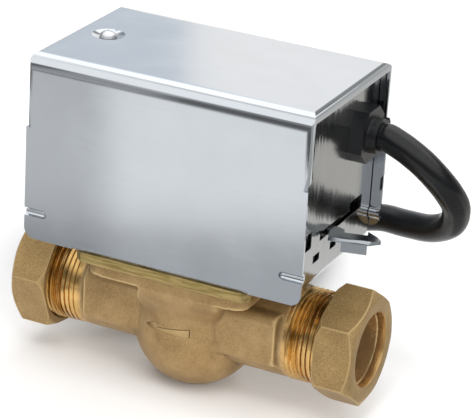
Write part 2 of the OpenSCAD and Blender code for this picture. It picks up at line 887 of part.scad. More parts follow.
tooth_levels = 5;
function involute_turn(base, r) = let (t = sqrt(max(0, r * r / (base * base) - 1))) t * 180 / PI - atan(t);
function half_tooth(teeth, r) = let (
        pitch = gear_m * teeth / 2,
        base = pitch * cos(pressure),
        thin = flank_clear / 2 / pitch * 180 / PI
    ) 90 / teeth - thin + involute_turn(base, pitch) - involute_turn(base, max(r, base));
function polar(r, a) = [r * cos(a), r * sin(a)];
function tooth_radius(root, tip, i) = root + (tip - root) * i / tooth_levels;
function tooth(teeth, root, tip, a) = [
    for (i = [0:tooth_levels]) let (r = tooth_radius(root, tip, i)) polar(r, a - half_tooth(teeth, r)),
    for (i = [tooth_levels:-1:0]) let (r = tooth_radius(root, tip, i)) polar(r, a + half_tooth(teeth, r))
];
sector_step = 360 / sector_teeth;
pinion_step = 360 / pinion_teeth;
sector_first = mesh_angle - (swing_teeth + spare_tooth) * sector_step;
sector_last = mesh_angle + spare_tooth * sector_step;

module sector_outline() {
    difference() {
        polygon(concat(
            [[0, 0], polar(sector_root_r, sector_first - sector_step)],
            [for (a = [sector_first:sector_step:sector_last + 0.01])
                each tooth(sector_teeth, sector_root_r, sector_tip_r, a)],
            [polar(sector_root_r, sector_last + sector_step)]
        ));
        for (k = [1, 3])
            polar_hole(rim_inner * sector_pitch_r, sector_first + (sector_last - sector_first) * k / 4);
    }
}

module polar_hole(r, a) {
    translate(polar(r, a)) circle(r = 3.2);
}

// Cam for the switch: its radius grows with the turn, so the button follows in step
module cam_outline() {
    steps = 12;
    first = switch_angle - swing - 6;
    last = switch_angle + 6;
    polygon(concat([[0, 0]], [for (i = [0:steps]) let (a = first + (last - first) * i / steps)
        polar(cam_r + button_travel * (switch_angle - a) / swing, a)]));
}

module drive_sector() {
    arm_w = lever_pin_d + 4;
    color(steel) at_stem() difference() {
        union() {
            translate([0, 0, sector_z]) linear_extrude(sector_t) union() {
                sector_outline();
                cam_outline();
                circle(r = peg_reach + 1.6);
                rotate(pin_rest) translate([0, -arm_w / 2]) square([lever_pin_r, arm_w]);
                rotate(pin_rest) translate([lever_pin_r, 0]) circle(d = arm_w);
            }
            translate([0, 0, hub_low]) cylinder(r = hub_r, h = hub_top - hub_low);
            rotate([0, 0, spring_peg_angle]) translate([peg_reach, 0, spring_high - spring_wire])
                cylinder(d = 2, h = sector_z + eps - spring_high + spring_wire);
        }
        difference() {
            cylinder(d = stem_d + 2 * 0.01, h = far);
            translate([stem_d / 2 - flat_depth + 0.01, -stem_d, 0]) cube([stem_d, 2 * stem_d, far]);
        }
        rotate([0, 0, pin_rest]) translate([lever_pin_r, 0, 0]) cylinder(d = lever_pin_d, h = far);
    }
}

module lever_pin() {
    pin_top = lever_z + lever_t + 1;
    color(zinc) at_stem() rotate([0, 0, pin_rest]) translate([lever_pin_r, 0, sector_z])
        cylinder(d = lever_pin_d, h = pin_top - sector_z);
}

module stem_clip() {
    clip_r = stem_d / 2 + 1.4;
    neck_r = stem_d / 2 - 0.7;
    color(steel) at_stem() translate([0, 0, clip_z + 0.02]) linear_extrude(clip_t - 0.04) difference() {
        circle(r = clip_r);
        circle(r = neck_r + 0.02);
        translate([0, -neck_r]) square([2 * clip_r, 2 * neck_r]);
    }
}

module motor_pinion() {
    color(brass_turned) translate([pinion_x, pinion_y, 0]) {
        translate([0, 0, sector_z - pinion_over]) linear_extrude(sector_t + 2 * pinion_over)
            polygon([for (i = [0:pinion_teeth - 1])
                each tooth(pinion_teeth, pinion_root_r, pinion_tip_r,
                    mesh_angle - 180 + (i + 0.5) * pinion_step)]);
        translate([0, 0, sector_top]) cylinder(r = shaft_r, h = bridge_top - 0.3 - sector_top);
    }
}

// Swept tubes

function unit(v) = v / norm(v);
function heading(p, i) = unit(p[min(i + 1, len(p) - 1)] - p[max(i - 1, 0)]);
function ring_at(c, t, side, r, n) = let (u = unit(cross(side, t)), w = cross(t, u))
    [for (k = [0:n - 1]) c + r * (cos(360 * k / n) * u + sin(360 * k / n) * w)];
module tube(path, r, n, side) {
    rings = len(path);
    points = [for (i = [0:rings - 1]) each ring_at(path[i], heading(path, i), side, r, n)];
    polyhedron(points, concat(
        [[for (k = [0:n - 1]) n - 1 - k]],
        [for (i = [0:rings - 2], k = [0:n - 1])
            let (a = i * n + k, b = i * n + (k + 1) % n) each [[a, b, b + n], [a, b + n, a + n]]],
        [[for (k = [0:n - 1]) (rings - 1) * n + k]]
    ));
}
function curve_point(p, i, t) = let (
        a = p[max(i - 1, 0)], b = p[i], c = p[i + 1], d = p[min(i + 2, len(p) - 1)]
    ) b + t * (c - a) / 2 + t * t * (a - 2.5 * b + 2 * c - d / 2)
        + t * t * t * (1.5 * b - 1.5 * c + (d - a) / 2);
function curve(p, steps) = [
    for (i = [0:len(p) - 2], s = [0:steps - 1]) curve_point(p, i, s / steps),
    p[len(p) - 1]
];
function length_of(p) = [for (i = 0, s = 0; i < len(p) - 1; s = s + norm(p[i + 1] - p[i]), i = i + 1)
    s + norm(p[i + 1] - p[i])][len(p) - 2];

// Return spring: a torsion spring round the hub, one leg on the post and one on the sector's peg

spring_start_angle = post_angle - acos(spring_r / post_reach);
spring_end_angle = spring_start_angle - 360 * spring_turns;
spring_peg_angle = spring_end_angle - acos(spring_r / peg_reach);
function stem_polar(r, a, z) = [r * cos(a), stem_y + r * sin(a), z];
spring_path = concat(
    [stem_polar(post_reach, post_angle, spring_low)],
    [for (i = [0:8 * spring_turns]) let (f = i / (8 * spring_turns))
        stem_polar(spring_r, spring_start_angle - 360 * spring_turns * f,
            spring_low + (spring_high - spring_low) * f)],
    [stem_polar(peg_reach - 1.6, spring_end_angle - acos(spring_r / (peg_reach - 1.6)), spring_high)]
);

module return_spring() {
    color(steel) tube(spring_path, spring_wire / 2, 6, [0, 0, 1]);
}

module spring_post() {
    beside = (post_d + spring_wire) / 2 + 0.1;
    post_at = spring_path[0] + beside * unit(cross([0, 0, 1], spring_path[1] - spring_path[0]));
    color(steel) translate([post_at[0], post_at[1], frame_floor])
        cylinder(d = post_d, h = spring_high - frame_floor);
}

// Manual lever: a flat blade through the slot, with a cranked finger and a folded tab outside

lever_tilt = 14;
finger_root = [2.2, -6.2];

// The finger outside the plate, from its front root round its arrow tip to its back root, measured
// from the plate's face and the lever's centre line
module finger_outline() {
    r = lever_reach;
    polygon([
        finger_root, [r - 2.8, -3.4], [r, -0.4], [r - 2, 1.6], [r - 5.8, 3.8], [r - 4.9, 1.2],
        [5, -0.5], [4.1, 1.5], [1.5, lever_w / 2], [1.2, -lever_w / 2]
    ]);
}

module lever_outline() {
    blade = lever_w / 2;
    wide = lever_pin_d / 2 + pin_slack + 2;
    difference() {
        union() {
            translate([fork_x0 - 2, lever_y - wide]) square([frame_in - 1 - fork_x0 + 2, 2 * wide]);
            translate([fork_x1, lever_y - blade]) square([frame_x + 1.6 - fork_x1, lever_w]);
            translate([frame_x, lever_y]) finger_outline();
        }
        pin_slot();
    }
}

// Slot that the sector's pin drives
module pin_slot() {
    w = lever_pin_d + 2 * pin_slack;
    translate([pin_x - 2, lever_y - w / 2]) square([fork_x1 - pin_x + 1, w]);
    translate([pin_x - 2, lever_y]) circle(d = w);
}

module manual_lever() {
    tab_start = 3.9;
    tab_length = 7.6;
    color(lever_grey) {
        translate([0, 0, lever_z]) linear_extrude(lever_t) lever_outline();
        translate([frame_x + finger_root[0], lever_y + finger_root[1], lever_z]) rotate([0, 0, lever_tilt])
            translate([tab_start, 0, -finger_drop]) cube([tab_length, lever_t, finger_drop + eps]);
    }
}

// Motor on its bridge

module at_pillars() {
    for (x = pillar_x, s = [-1, 1]) translate([x, s * pillar_y, 0]) children();
}

module bridge_pillars() {
    color(steel) at_pillars() translate([0, 0, frame_floor])
        cylinder(d = pillar_d, h = bridge_z - frame_floor);
}

module bridge_plate() {
    x0 = pillar_x[0] - pillar_d / 2 - 1;
    x1 = pillar_x[1] + pillar_d / 2 + 1;
    shaft_hole = shaft_r + 0.6;
    color(zinc) translate([0, 0, bridge_z]) linear_extrude(bridge_t) difference() {
        translate([(x0 + x1) / 2, 0]) rounded_rect(x1 - x0, 2 * pillar_y + pillar_d + 2, 2.5);
        translate([pinion_x, pinion_y]) circle(r = shaft_hole);
        at_pillars() circle(d = bridge_screw_d + 0.1);
        for (s = [-1, 1]) translate([motor_x + s * motor_ear_r, 0]) circle(d = bridge_screw_d + 0.1);
    }
}

bridge_screw_d = 2.9;

module bridge_screws() {
    color(zinc) at_pillars() translate([0, 0, bridge_top]) screw(bridge_screw_d, bridge_t, 2.5, 1.6);
}

module motor_gear_case() {
    color(zinc) translate([0, 0, bridge_top]) linear_extrude(gearcase_h) difference() {
        union() {
            translate([motor_x, 0]) circle(d = motor_d + 1.6);
            for (s = [-1, 1]) translate([motor_x + s * motor_ear_r, 0]) circle(r = 3.2);
            translate([motor_x - motor_ear_r, -3.2]) square([2 * motor_ear_r, 6.4]);
        }
        for (s = [-1, 1]) translate([motor_x + s * motor_ear_r, 0]) circle(d = bridge_screw_d + 0.1);
    }
}

module motor_can() {
    r = motor_d / 2;
    edge = 2;
    color(steel) translate([motor_x, 0, bridge_top + gearcase_h]) rotate_extrude() union() {
        square([r, motor_h - edge]);
        square([r - edge, motor_h]);
        translate([r - edge, motor_h - edge]) circle(r = edge);
        square([4, motor_h + 1.5]);
    }
}

module motor_screws() {
    color(zinc) for (s = [-1, 1]) translate([motor_x + s * motor_ear_r, 0, bridge_top + gearcase_h])
        screw(bridge_screw_d, gearcase_h + bridge_t, 2.5, 1.6);
}

// End switch, set so that its button points at the stem

module at_switch() {
    at_stem() rotate([0, 0, switch_angle]) children();
}

switch_screw_v = [-12, 3];
switch_screw_d = 2.2;

module end_switch() {
    color(black_plastic) at_switch() difference() {
        translate([switch_face, button_v - switch_l * 0.7, frame_floor]) cube([switch_d, switch_l, switch_h]);
        for (v = switch_screw_v) translate([switch_face + switch_d / 2, button_v + v, 0])
            cylinder(d = switch_screw_d + 0.1, h = far);
        translate([switch_face - eps, button_v - button_w / 2 - 0.1, button_z - button_w / 2 - 0.1])
            cube([button_travel + 1.6, button_w + 0.2, button_w + 0.2]);
    }
}

module switch_button() {
    color("#8a2f2a") at_switch()
        translate([switch_face - button_out, button_v - button_w / 2, button_z - button_w / 2])
            cube([button_out + 1, button_w, button_w]);
}

module switch_screws() {
    color(zinc) at_switch() for (v = switch_screw_v)
        translate([switch_face + switch_d / 2, button_v + v, frame_floor + switch_h])
            screw(switch_screw_d, switch_h, 1.9, 1.2);
}

// Cable gland, cable and coil

module cable_gland() {
    nub = 2;
    color(black_plastic) difference() {
        union() {
            yz_sheet(frame_x, gland_head_l) translate([gland_y, gland_z])
                bevelled_square(gland_w, gland_w / 4);
            translate([0, gland_y, gland_z]) {
                x_cyl(frame_x, gland_end, gland_collar_d / 2, gland_collar_d / 2 - 0.4);
                x_cyl(frame_in - eps, frame_x + eps, gland_hole_r - 0.05, gland_hole_r - 0.05);
                x_cyl(frame_in - claw_l, frame_in, gland_hole_r - 0.6, gland_hole_r + 0.5);
            }
            translate([gland_end - nub, gland_y, gland_z]) rotate([-60, 0, 0])
                translate([0, -nub / 2, gland_collar_d / 2 - 1]) cube([nub, nub, nub]);
        }
        translate([0, gland_y, gland_z]) x_cyl(0, far, cable_d / 2 + 0.05, cable_d / 2 + 0.05);
    }
}

module cable_tail() {
    color(rubber_black) translate([0, gland_y, gland_z])
        x_cyl(frame_in - tail_in, gland_end, cable_d / 2, cable_d / 2);
}

// Inner leads: from the cable's cut end to the motor, the switch and the earth screw
lead_d = 2.2;
lead_step = 1.4;
lead_gap = 0.5;
tail_end = frame_in - tail_in;
motor_side = motor_x + motor_d / 2;
motor_lead_z = bridge_top + gearcase_h + 5;
earth_top = frame_floor + head_h;
lead_routes = [
    concat(
        [for (i = [0:2]) [tail_end - i * lead_step, gland_y - 2.4, gland_z]],
        [[motor_side + 6.5, 9, motor_lead_z + 3]],
        [for (i = [2:-1:0]) [motor_side + lead_gap + i * lead_step, 1, motor_lead_z]]
    ),
    concat(
        [for (i = [0:2]) [tail_end - i * lead_step, gland_y, gland_z - 2.4]],
        [[tail_end - 2, gland_y - 3, gland_z - 6.5], [31, gland_y - 9, bridge_top + 7]],
        [[frame_in - 3.6, -1, bridge_top + 2], [frame_in - 3, earth_y + 5, bridge_z - 1]],
        [[frame_in - 3.4, earth_y + 1, earth_top + 9]],
        [for (i = [2:-1:0]) [earth_x, earth_y, earth_top + lead_gap + i * lead_step]]
    )
];

module inner_leads() {
    color(copper) for (route = lead_routes) tube(curve(route, 4), lead_d / 2, 6, [0, 0.2, 0.3]);
}

lead_path = curve(cable_route, route_steps);

module cable_lead() {
    color(rubber_black) tube(lead_path, cable_d / 2, 10, [0.1, 1, 0.05]);
}

// Coil: spirals in on the lower layer, climbs in the half turn where it reverses, spirals out above
climb_turns = 0.5;
coil_turns = 2 * layer_turns + climb_turns;
loop_rings = 24;
inner_r = coil_r - coil_step * layer_turns;
function climb(f) = f * f * (3 - 2 * f);
function coil_radius(u) = u < layer_turns ? coil_r - coil_step * u
    : u < layer_turns + climb_turns
        ? inner_r - coil_step * climb_turns / PI * sin(180 * (u - layer_turns) / climb_turns)
        : inner_r + coil_step * (u - layer_turns - climb_turns);
function coil_point(u) = let (a = -90 - 360 * u, r = coil_radius(u)) [
    coil_at[0] + r * cos(a),
    coil_at[1] + r * sin(a),
    coil_z + coil_lift * climb(max(0, min(1, (u - layer_turns) / climb_turns)))
];
coil_count = ceil(coil_turns * loop_rings);
coil_loops = [for (i = [0:coil_count]) coil_point(coil_turns * i / coil_count)];
coil_end_dir = unit(coil_loops[coil_count] - coil_loops[coil_count - 1]);
coil_path = concat(
    [coil_start + [cable_d, 0, 0]],
    coil_loops,
    [coil_loops[coil_count] + cable_d * coil_end_dir]
);
apart = ceil(loop_rings / 2);
coil_gap = min([for (i = [0:coil_count], j = [0:coil_count]) if (j - i > apart)
    norm(coil_loops[i] - coil_loops[j])]) - cable_d;
echo(coil_gap_mm = coil_gap);
echo(cable_length_mm = length_of(lead_path) + length_of(coil_path));

module cable_coil() {
    color(rubber_black) tube(coil_path, cable_d / 2, 6, [0, 0, 1]);
}

module coil_tie() {
    slack = 0.2;
    low = coil_z - cable_d / 2 - slack;
    high = coil_z + coil_lift + cable_d / 2 + slack;
    near = inner_r - coil_step * climb_turns / PI - cable_d / 2 - slack;
    wide = coil_r + cable_d / 2 + slack;
    color(rubber_black) translate([coil_at[0], coil_at[1], (low + high) / 2])
        rotate([90, 0, 0]) rotate([0, 90, 0]) translate([0, 0, -tie_w / 2])
            translate([(near + wide) / 2, 0, 0]) linear_extrude(tie_w) difference() {
                rounded_rect(wide - near + 2 * tie_t, high - low + 2 * tie_t, 2);
                rounded_rect(wide - near, high - low, 1.2);
            }
}

// Five bared cores at the cut end of the cable
core_count = 5;
core_l = 18;
core_r = 1.15;
bare_l = 6;

module core_ends() {
    end = coil_path[len(coil_path) - 1];
    turn = atan2(coil_end_dir[1], coil_end_dir[0]);
    color(copper) translate(end) rotate([0, 0, turn]) for (k = [0:core_count - 1])
        rotate([360 * k / core_count, 0, 0]) translate([0, 0, 2.4]) {
            x_cyl(0, core_l, core_r, core_r);
            x_cyl(core_l - eps, core_l + bare_l, core_r / 2, core_r / 2);
        }
}

valve_body();
right_compression_nut();
left_compression_nut();
right_olive();
left_olive();
bonnet_plate();
bonnet_seal();
bonnet_screws();
stem_bush();
valve_stem();
stem_seals();
paddle_crank();
paddle_ball();
base_frame();
head_screws();
cover();
cover_screw();
drive_sector();
lever_pin();
stem_clip();
return_spring();
spring_post();
manual_lever();
bridge_pillars();
bridge_plate();
bridge_screws();
motor_gear_case();
motor_can();
motor_screws();
motor_pinion();
end_switch();
switch_button();
switch_screws();
earth_screw();
cable_gland();
cable_tail();
inner_leads();
cable_lead();
cable_coil();
coil_tie();
core_ends();
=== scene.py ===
"""Dresses the zone valve: a brass two-port body with a motor head under a folded zinc cover."""

import json
import logging
import math
from dataclasses import dataclass
from enum import Enum
from typing import Callable, Iterable, Mapping, Sequence

import bmesh
import bpy
import numpy as np
from bpy.types import GeometryNodeTree, Material, Mesh, Node, NodeSocket, NodeTree, Object
from mathutils import Matrix, Vector


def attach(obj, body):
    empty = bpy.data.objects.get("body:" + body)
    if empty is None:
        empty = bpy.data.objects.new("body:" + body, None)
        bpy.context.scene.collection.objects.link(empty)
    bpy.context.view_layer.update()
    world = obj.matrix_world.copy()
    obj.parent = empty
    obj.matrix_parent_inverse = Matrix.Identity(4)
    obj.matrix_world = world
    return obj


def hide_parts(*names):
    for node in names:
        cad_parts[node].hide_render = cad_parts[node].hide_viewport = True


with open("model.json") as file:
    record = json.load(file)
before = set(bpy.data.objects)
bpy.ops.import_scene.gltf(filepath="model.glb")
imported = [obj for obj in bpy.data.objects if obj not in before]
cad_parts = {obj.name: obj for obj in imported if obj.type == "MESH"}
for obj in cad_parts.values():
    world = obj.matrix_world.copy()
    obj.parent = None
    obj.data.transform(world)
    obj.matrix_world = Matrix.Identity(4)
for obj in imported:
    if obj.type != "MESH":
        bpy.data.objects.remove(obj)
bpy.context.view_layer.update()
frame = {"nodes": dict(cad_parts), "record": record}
LOG = logging.getLogger("zone_valve")
MM = 0.001
HOUSING = "housing"
WHITE, BLACK = "#FFFFFF", "#000000"
# Sockets of a Mix node that share their names: two numbers, two colours and the mixed colour.
NUMBER_A, NUMBER_B, COLOUR_A, COLOUR_B, COLOUR_OUT = 2, 3, 6, 7, 2

Point = tuple[float, float, float]
Stops = Sequence[tuple[float, str]]
Feeds = dict[str, float | NodeSocket]
Outputs = Mapping[str, NodeSocket]
Spot = Callable[[float], tuple[float, float]]


class Grain(Enum):
    """Way in which a sheet was rolled."""

    ALONG_PIPE = (0.04, 1.0, 1.0)
    UPRIGHT = (1.0, 1.0, 0.04)


class Side(Enum):
    """Port of the valve, with the sign of its direction along the pipe."""

    RIGHT = 1
    LEFT = -1


def linear(hex_colour: str) -> tuple[float, float, float, float]:
    """Turns an sRGB hex colour into linear RGBA.

    Args:
        hex_colour: colour as "#RRGGBB".

    Returns:
        Linear red, green, blue and an alpha of 1.
    """
    parts = [int(hex_colour[i : i + 2], 16) / 255 for i in (1, 3, 5)]
    r, g, b = (c / 12.92 if c <= 0.04045 else ((c + 0.055) / 1.055) ** 2.4 for c in parts)
    return r, g, b, 1.0


def tone(hex_colour: str, gain: float) -> str:
    """The colour made darker or lighter, as sRGB hex."""
    return "#" + "".join(f"{min(255, round(int(hex_colour[i : i + 2], 16) * gain)):02X}" for i in (1, 3, 5))


def per_mm(size_mm: float) -> float:
    """Texture scale, per metre, for a feature of that size in millimetres."""
    return 1000.0 / size_mm


def feed(tree: NodeTree, socket: NodeSocket, value: object) -> None:
    """Gives an input its own value, or a link where the value is another node's output.

    Args:
        tree: node tree of the input.
        socket: the input.
        value: a plain value or an output socket.
    """
    if isinstance(value, NodeSocket):
        tree.links.new(value, socket)
    else:
        socket.default_value = value


def add_node(
    tree: NodeTree, kind: str, sockets: dict | None = None, stops: Stops = (), **settings: object
) -> Node:
    """Adds a node with its settings, input values and links.

    Args:
        tree: node tree that gets the node.
        kind: Blender's name of the node type.
        sockets: input name or index to a value or to an output socket.
        stops: on a colour ramp, its places and their sRGB hex colours.
        settings: attributes of the node.

    Returns:
        The new node.
    """
    node = tree.nodes.new(kind)
    for key, value in settings.items():
        setattr(node, key, value)
    for key, value in (sockets or {}).items():
        feed(tree, node.inputs[key], value)
    for _ in stops[2:]:
        node.color_ramp.elements.new(0.5)
    for index, (place, colour) in enumerate(stops):
        node.color_ramp.elements[index].position = place
        node.color_ramp.elements[index].color = linear(colour)
    return node


@dataclass(frozen=True)
class Finish:
    """A real material and how its surface was made."""

    name: str

    def build(self) -> Material:
        """Makes the material, or finds the one already made.

        Returns:
            The material.
        """
        made = bpy.data.materials.get(self.name)
        if made:
            return made
        material = bpy.data.materials.new(self.name)
        material.use_nodes = True
        tree = material.node_tree
        shader = tree.nodes["Principled BSDF"]
        place = add_node(tree, "ShaderNodeTexCoord").outputs["Object"]
        for socket, value in self.dress(tree, place).items():
            feed(tree, shader.inputs[socket], value)
        return material

    def dress(self, tree: NodeTree, place: NodeSocket) -> Feeds:
        """Adds the nodes of the surface.

        Args:
            tree: the material's node tree.
            place: object coordinates.

        Returns:
            What goes into the shader's inputs.
        """
        raise NotImplementedError


@dataclass(frozen=True)
class CastBrass(Finish):
    """Sand-cast brass, blasted: a dull fine grit, with paler high spots and brown hollows."""

    colour: str
    shade: str = "#8C7049"
    light: str = "#B99C70"
    # Brown of the hollows, also used for painted shade; pale of rubbed spots, also used for painted light.
    hollow_and_shade: str = "#5E4627"
    rubbed: str = "#DCC08A"
    metallic: float = 0.6
    roughness: float = 0.5
    cloud_mm: float = 9.0
    # Real grit is about 0.1 mm; drawn coarser so that it shows in the picture.
    grit_mm: float = 0.4
    grit_share: float = 0.5

    def dress(self, tree: NodeTree, place: NodeSocket) -> Feeds:
        """Adds cloudy colour, blasted grit, rubbed edges and brown hollows; on the casting's arrow the same
        marks carry painted light and painted shade.

        Args:
            tree: the material's node tree.
            place: object coordinates.

        Returns:
            What goes into the shader's inputs.
        """
        cloud, grit = (
            add_node(
                tree,
                "ShaderNodeTexNoise",
                {"Vector": place, "Scale": per_mm(size), "Detail": detail, "Roughness": rough},
            ).outputs["Fac"]
            for size, detail, rough in ((self.cloud_mm, 4.0, 0.6), (self.grit_mm, 2.0, 0.7))
        )
        share = add_node(tree, "ShaderNodeMix", {"Factor": self.grit_share, NUMBER_A: cloud, NUMBER_B: grit})
        tones = ((0.36, self.shade), (0.5, self.colour), (0.64, self.light))
        skin = add_node(tree, "ShaderNodeValToRGB", {"Fac": share.outputs[0]}, tones).outputs["Color"]
        # The grime mark also carries painted shade and the wear mark painted light, on the casting's arrow.
        for mask, colour in (("grime_and_shade", self.hollow_and_shade), ("wear_and_light", self.rubbed)):
            amount = add_node(tree, "ShaderNodeAttribute", attribute_name=mask).outputs["Fac"]
            mixed = {"Factor": amount, COLOUR_A: skin, COLOUR_B: linear(colour)}
            skin = add_node(tree, "ShaderNodeMix", mixed, data_type="RGBA").outputs[COLOUR_OUT]
        low, high = self.roughness - 0.08, self.roughness + 0.1
        spread = {"Value": grit, "From Min": 0.3, "From Max": 0.7, "To Min": low, "To Max": high}
        dull = add_node(tree, "ShaderNodeMapRange", spread)
        bump = add_node(tree, "ShaderNodeBump", {"Height": grit, "Strength": 0.5, "Distance": 0.1 * MM})
        return {
            "Base Color": skin,
            "Metallic": self.metallic,
            "Roughness": dull.outputs[0],
            "Normal": bump.outputs[0],
        }


@dataclass(frozen=True)
class TurnedBrass(Finish):
    """Brass cut on a lathe: bright gold with fine rings round the pipe axis."""

    colour: str
    roughness: float = 0.24
    metallic: float = 1.0
    tarnish: float = 0.93
    patch_mm: float = 4.0
    ring_mm: float = 0.3

    def dress(self, tree: NodeTree, place: NodeSocket) -> Feeds:
        """Adds tool rings and faint tarnish.

        Args:
            tree: the material's node tree.
            place: object coordinates.

        Returns:
            What goes into the shader's inputs.
        """
        patches = {"Vector": place, "Scale": per_mm(self.patch_mm), "Detail": 4.0}
        film = add_node(tree, "ShaderNodeTexNoise", patches).outputs["Fac"]
        tones = ((0.35, tone(self.colour, self.tarnish)), (0.7, tone(self.colour, 1.04)))
        skin = add_node(tree, "ShaderNodeValToRGB", {"Fac": film}, tones)
        cuts = {"Vector": place, "Scale": per_mm(self.ring_mm) / math.tau, "Distortion": 0.6, "Detail": 1.0}
        rings = add_node(tree, "ShaderNodeTexWave", cuts, bands_direction="X").outputs["Fac"]
        spread = {"Value": film, "To Min": self.roughness - 0.06, "To Max": self.roughness + 0.08}
        dull = add_node(tree, "ShaderNodeMapRange", spread)
        bump = add_node(tree, "ShaderNodeBump", {"Height": rings, "Strength": 0.25, "Distance": 0.03 * MM})
        return {
            "Base Color": skin.outputs["Color"],
            "Metallic": self.metallic,
            "Roughness": dull.outputs[0],
            "Normal": bump.outputs[0],
        }


@dataclass(frozen=True)
class ZincSheet(Finish):
    """Bright zinc-plated sheet steel: bluish grey, hazy mirror, faint rolling lines and plating spots."""

    colour: str
    grain: Grain = Grain.ALONG_PIPE
    roughness: float = 0.17
    streak: float = 0.05
    line_mm: float = 0.7
    smudge_mm: float = 16.0
    spot_mm: float = 3.2
    spot: str = "#8E9298"
    spot_share: float = 0.12
    tilt: float = 0.0

    def dress(self, tree: NodeTree, place: NodeSocket) -> Feeds:
        """Adds rolling lines, plating spots and handling smudges.

        Args:
            tree: the material's node tree.
            place: object coordinates.

        Returns:
            What goes into the shader's inputs.
        """
        drawn = add_node(tree, "ShaderNodeMapping", {"Vector": place, "Scale": self.grain.value}).outputs[0]
        rolled = {"Vector": drawn, "Scale": per_mm(self.line_mm), "Detail": 3.0, "Roughness": 0.6}
        lines = add_node(tree, "ShaderNodeTexNoise", rolled).outputs["Fac"]
        handled = {"Vector": place, "Scale": per_mm(self.smudge_mm), "Detail": 5.0, "Roughness": 0.55}
        smudge = add_node(tree, "ShaderNodeTexNoise", handled).outputs["Fac"]
        cells = {"Vector": place, "Scale": per_mm(self.spot_mm), "Randomness": 1.0}
        spots = add_node(tree, "ShaderNodeTexVoronoi", cells).outputs["Distance"]
        dots = add_node(tree, "ShaderNodeValToRGB", {"Fac": spots}, ((0.03, self.spot), (0.075, WHITE)))
        tones = ((0.3, tone(self.colour, 0.982)), (0.7, tone(self.colour, 1.01)))
        plain = add_node(tree, "ShaderNodeValToRGB", {"Fac": smudge}, tones)
        layers = {
            "Factor": self.spot_share,
            COLOUR_A: plain.outputs["Color"],
            COLOUR_B: dots.outputs["Color"],
        }
        skin = add_node(tree, "ShaderNodeMix", layers, data_type="RGBA", blend_type="MULTIPLY")
        haze = add_node(tree, "ShaderNodeMath", {0: lines, 1: smudge}, operation="MULTIPLY").outputs[0]
        low, high = self.roughness - 0.04, self.roughness + 0.06
        spread = {"Value": haze, "From Min": 0.12, "From Max": 0.42, "To Min": low, "To Max": high}
        dull = add_node(tree, "ShaderNodeMapRange", spread)
        relief = {"Height": lines, "Strength": self.streak, "Distance": 0.03 * MM}
        facing = add_node(tree, "ShaderNodeBump", relief).outputs[0]
        if self.tilt:
            # Drawn sheet leans a little up or down from one drawing line to the next.
            sway = {"From Min": 0.3, "From Max": 0.7, "To Min": -self.tilt, "To Max": self.tilt}
            lean = add_node(tree, "ShaderNodeMapRange", {"Value": lines, **sway})
            upward = add_node(tree, "ShaderNodeCombineXYZ", {"Z": lean.outputs[0]})
            sides = {0: facing, 1: upward.outputs[0]}
            leaning = add_node(tree, "ShaderNodeVectorMath", sides, operation="ADD")
            unit = add_node(tree, "ShaderNodeVectorMath", {0: leaning.outputs[0]}, operation="NORMALIZE")
            facing = unit.outputs[0]
        return {
            "Base Color": skin.outputs[COLOUR_OUT],
            "Metallic": 1.0,
            "Roughness": dull.outputs[0],
            "Normal": facing,
        }


@dataclass(frozen=True)
class YellowPassivate(Finish):
    """Zinc with a yellow chromate film: straw gold that drifts to green and pink."""

    colour: str
    green: str = "#857243"
    straw: str = "#C0A973"
    pink: str = "#A98563"
    metallic: float = 0.92
    band_mm: float = 1.1
    grain_mm: float = 0.6

    def dress(self, tree: NodeTree, place: NodeSocket) -> Feeds:
        """Adds the film's drifting colours and a fine sheared grain.

        Args:
            tree: the material's node tree.
            place: object coordinates.

        Returns:
            What goes into the shader's inputs.
        """
        along = add_node(tree, "ShaderNodeMapping", {"Vector": place, "Scale": (0.12, 1.0, 1.0)}).outputs[0]
        bands = {"Vector": along, "Scale": per_mm(self.band_mm), "Detail": 4.0, "Distortion": 0.3}
        drift = add_node(tree, "ShaderNodeTexNoise", bands).outputs["Fac"]
        tones = ((0.3, self.green), (0.46, self.colour), (0.6, self.straw), (0.74, self.pink))
        film = add_node(tree, "ShaderNodeValToRGB", {"Fac": drift}, tones)
        sheared = {"Vector": place, "Scale": per_mm(self.grain_mm), "Detail": 3.0}
        grain = add_node(tree, "ShaderNodeTexNoise", sheared).outputs["Fac"]
        dull = add_node(tree, "ShaderNodeMapRange", {"Value": grain, "To Min": 0.34, "To Max": 0.56})
        bump = add_node(tree, "ShaderNodeBump", {"Height": grain, "Strength": 0.25, "Distance": 0.05 * MM})
        return {
            "Base Color": film.outputs["Color"],
            "Metallic": self.metallic,
            "Roughness": dull.outputs[0],
            "Normal": bump.outputs[0],
        }


@dataclass(frozen=True)
class PlainSteel(Finish):
    """Pressed steel with a thin dull plating: even grey with fine scuffs."""

    colour: str
    roughness: float = 0.36
    metallic: float = 0.95
    scuff_mm: float = 1.6

    def dress(self, tree: NodeTree, place: NodeSocket) -> Feeds:
        """Adds scuffs and small changes of tone.

        Args:
            tree: the material's node tree.
            place: object coordinates.

        Returns:
            What goes into the shader's inputs.
        """
        worn = {"Vector": place, "Scale": per_mm(self.scuff_mm), "Detail": 6.0, "Roughness": 0.7}
        scuff = add_node(tree, "ShaderNodeTexNoise", worn).outputs["Fac"]
        tones = ((0.3, tone(self.colour, 0.893)), (0.7, tone(self.colour, 1.08)))
        skin = add_node(tree, "ShaderNodeValToRGB", {"Fac": scuff}, tones)
        spread = {"Value": scuff, "To Min": self.roughness - 0.1, "To Max": self.roughness + 0.14}
        dull = add_node(tree, "ShaderNodeMapRange", spread)
        bump = add_node(tree, "ShaderNodeBump", {"Height": scuff, "Strength": 0.2, "Distance": 0.04 * MM})
        return {
            "Base Color": skin.outputs["Color"],
            "Metallic": self.metallic,
            "Roughness": dull.outputs[0],
            "Normal": bump.outputs[0],
        }


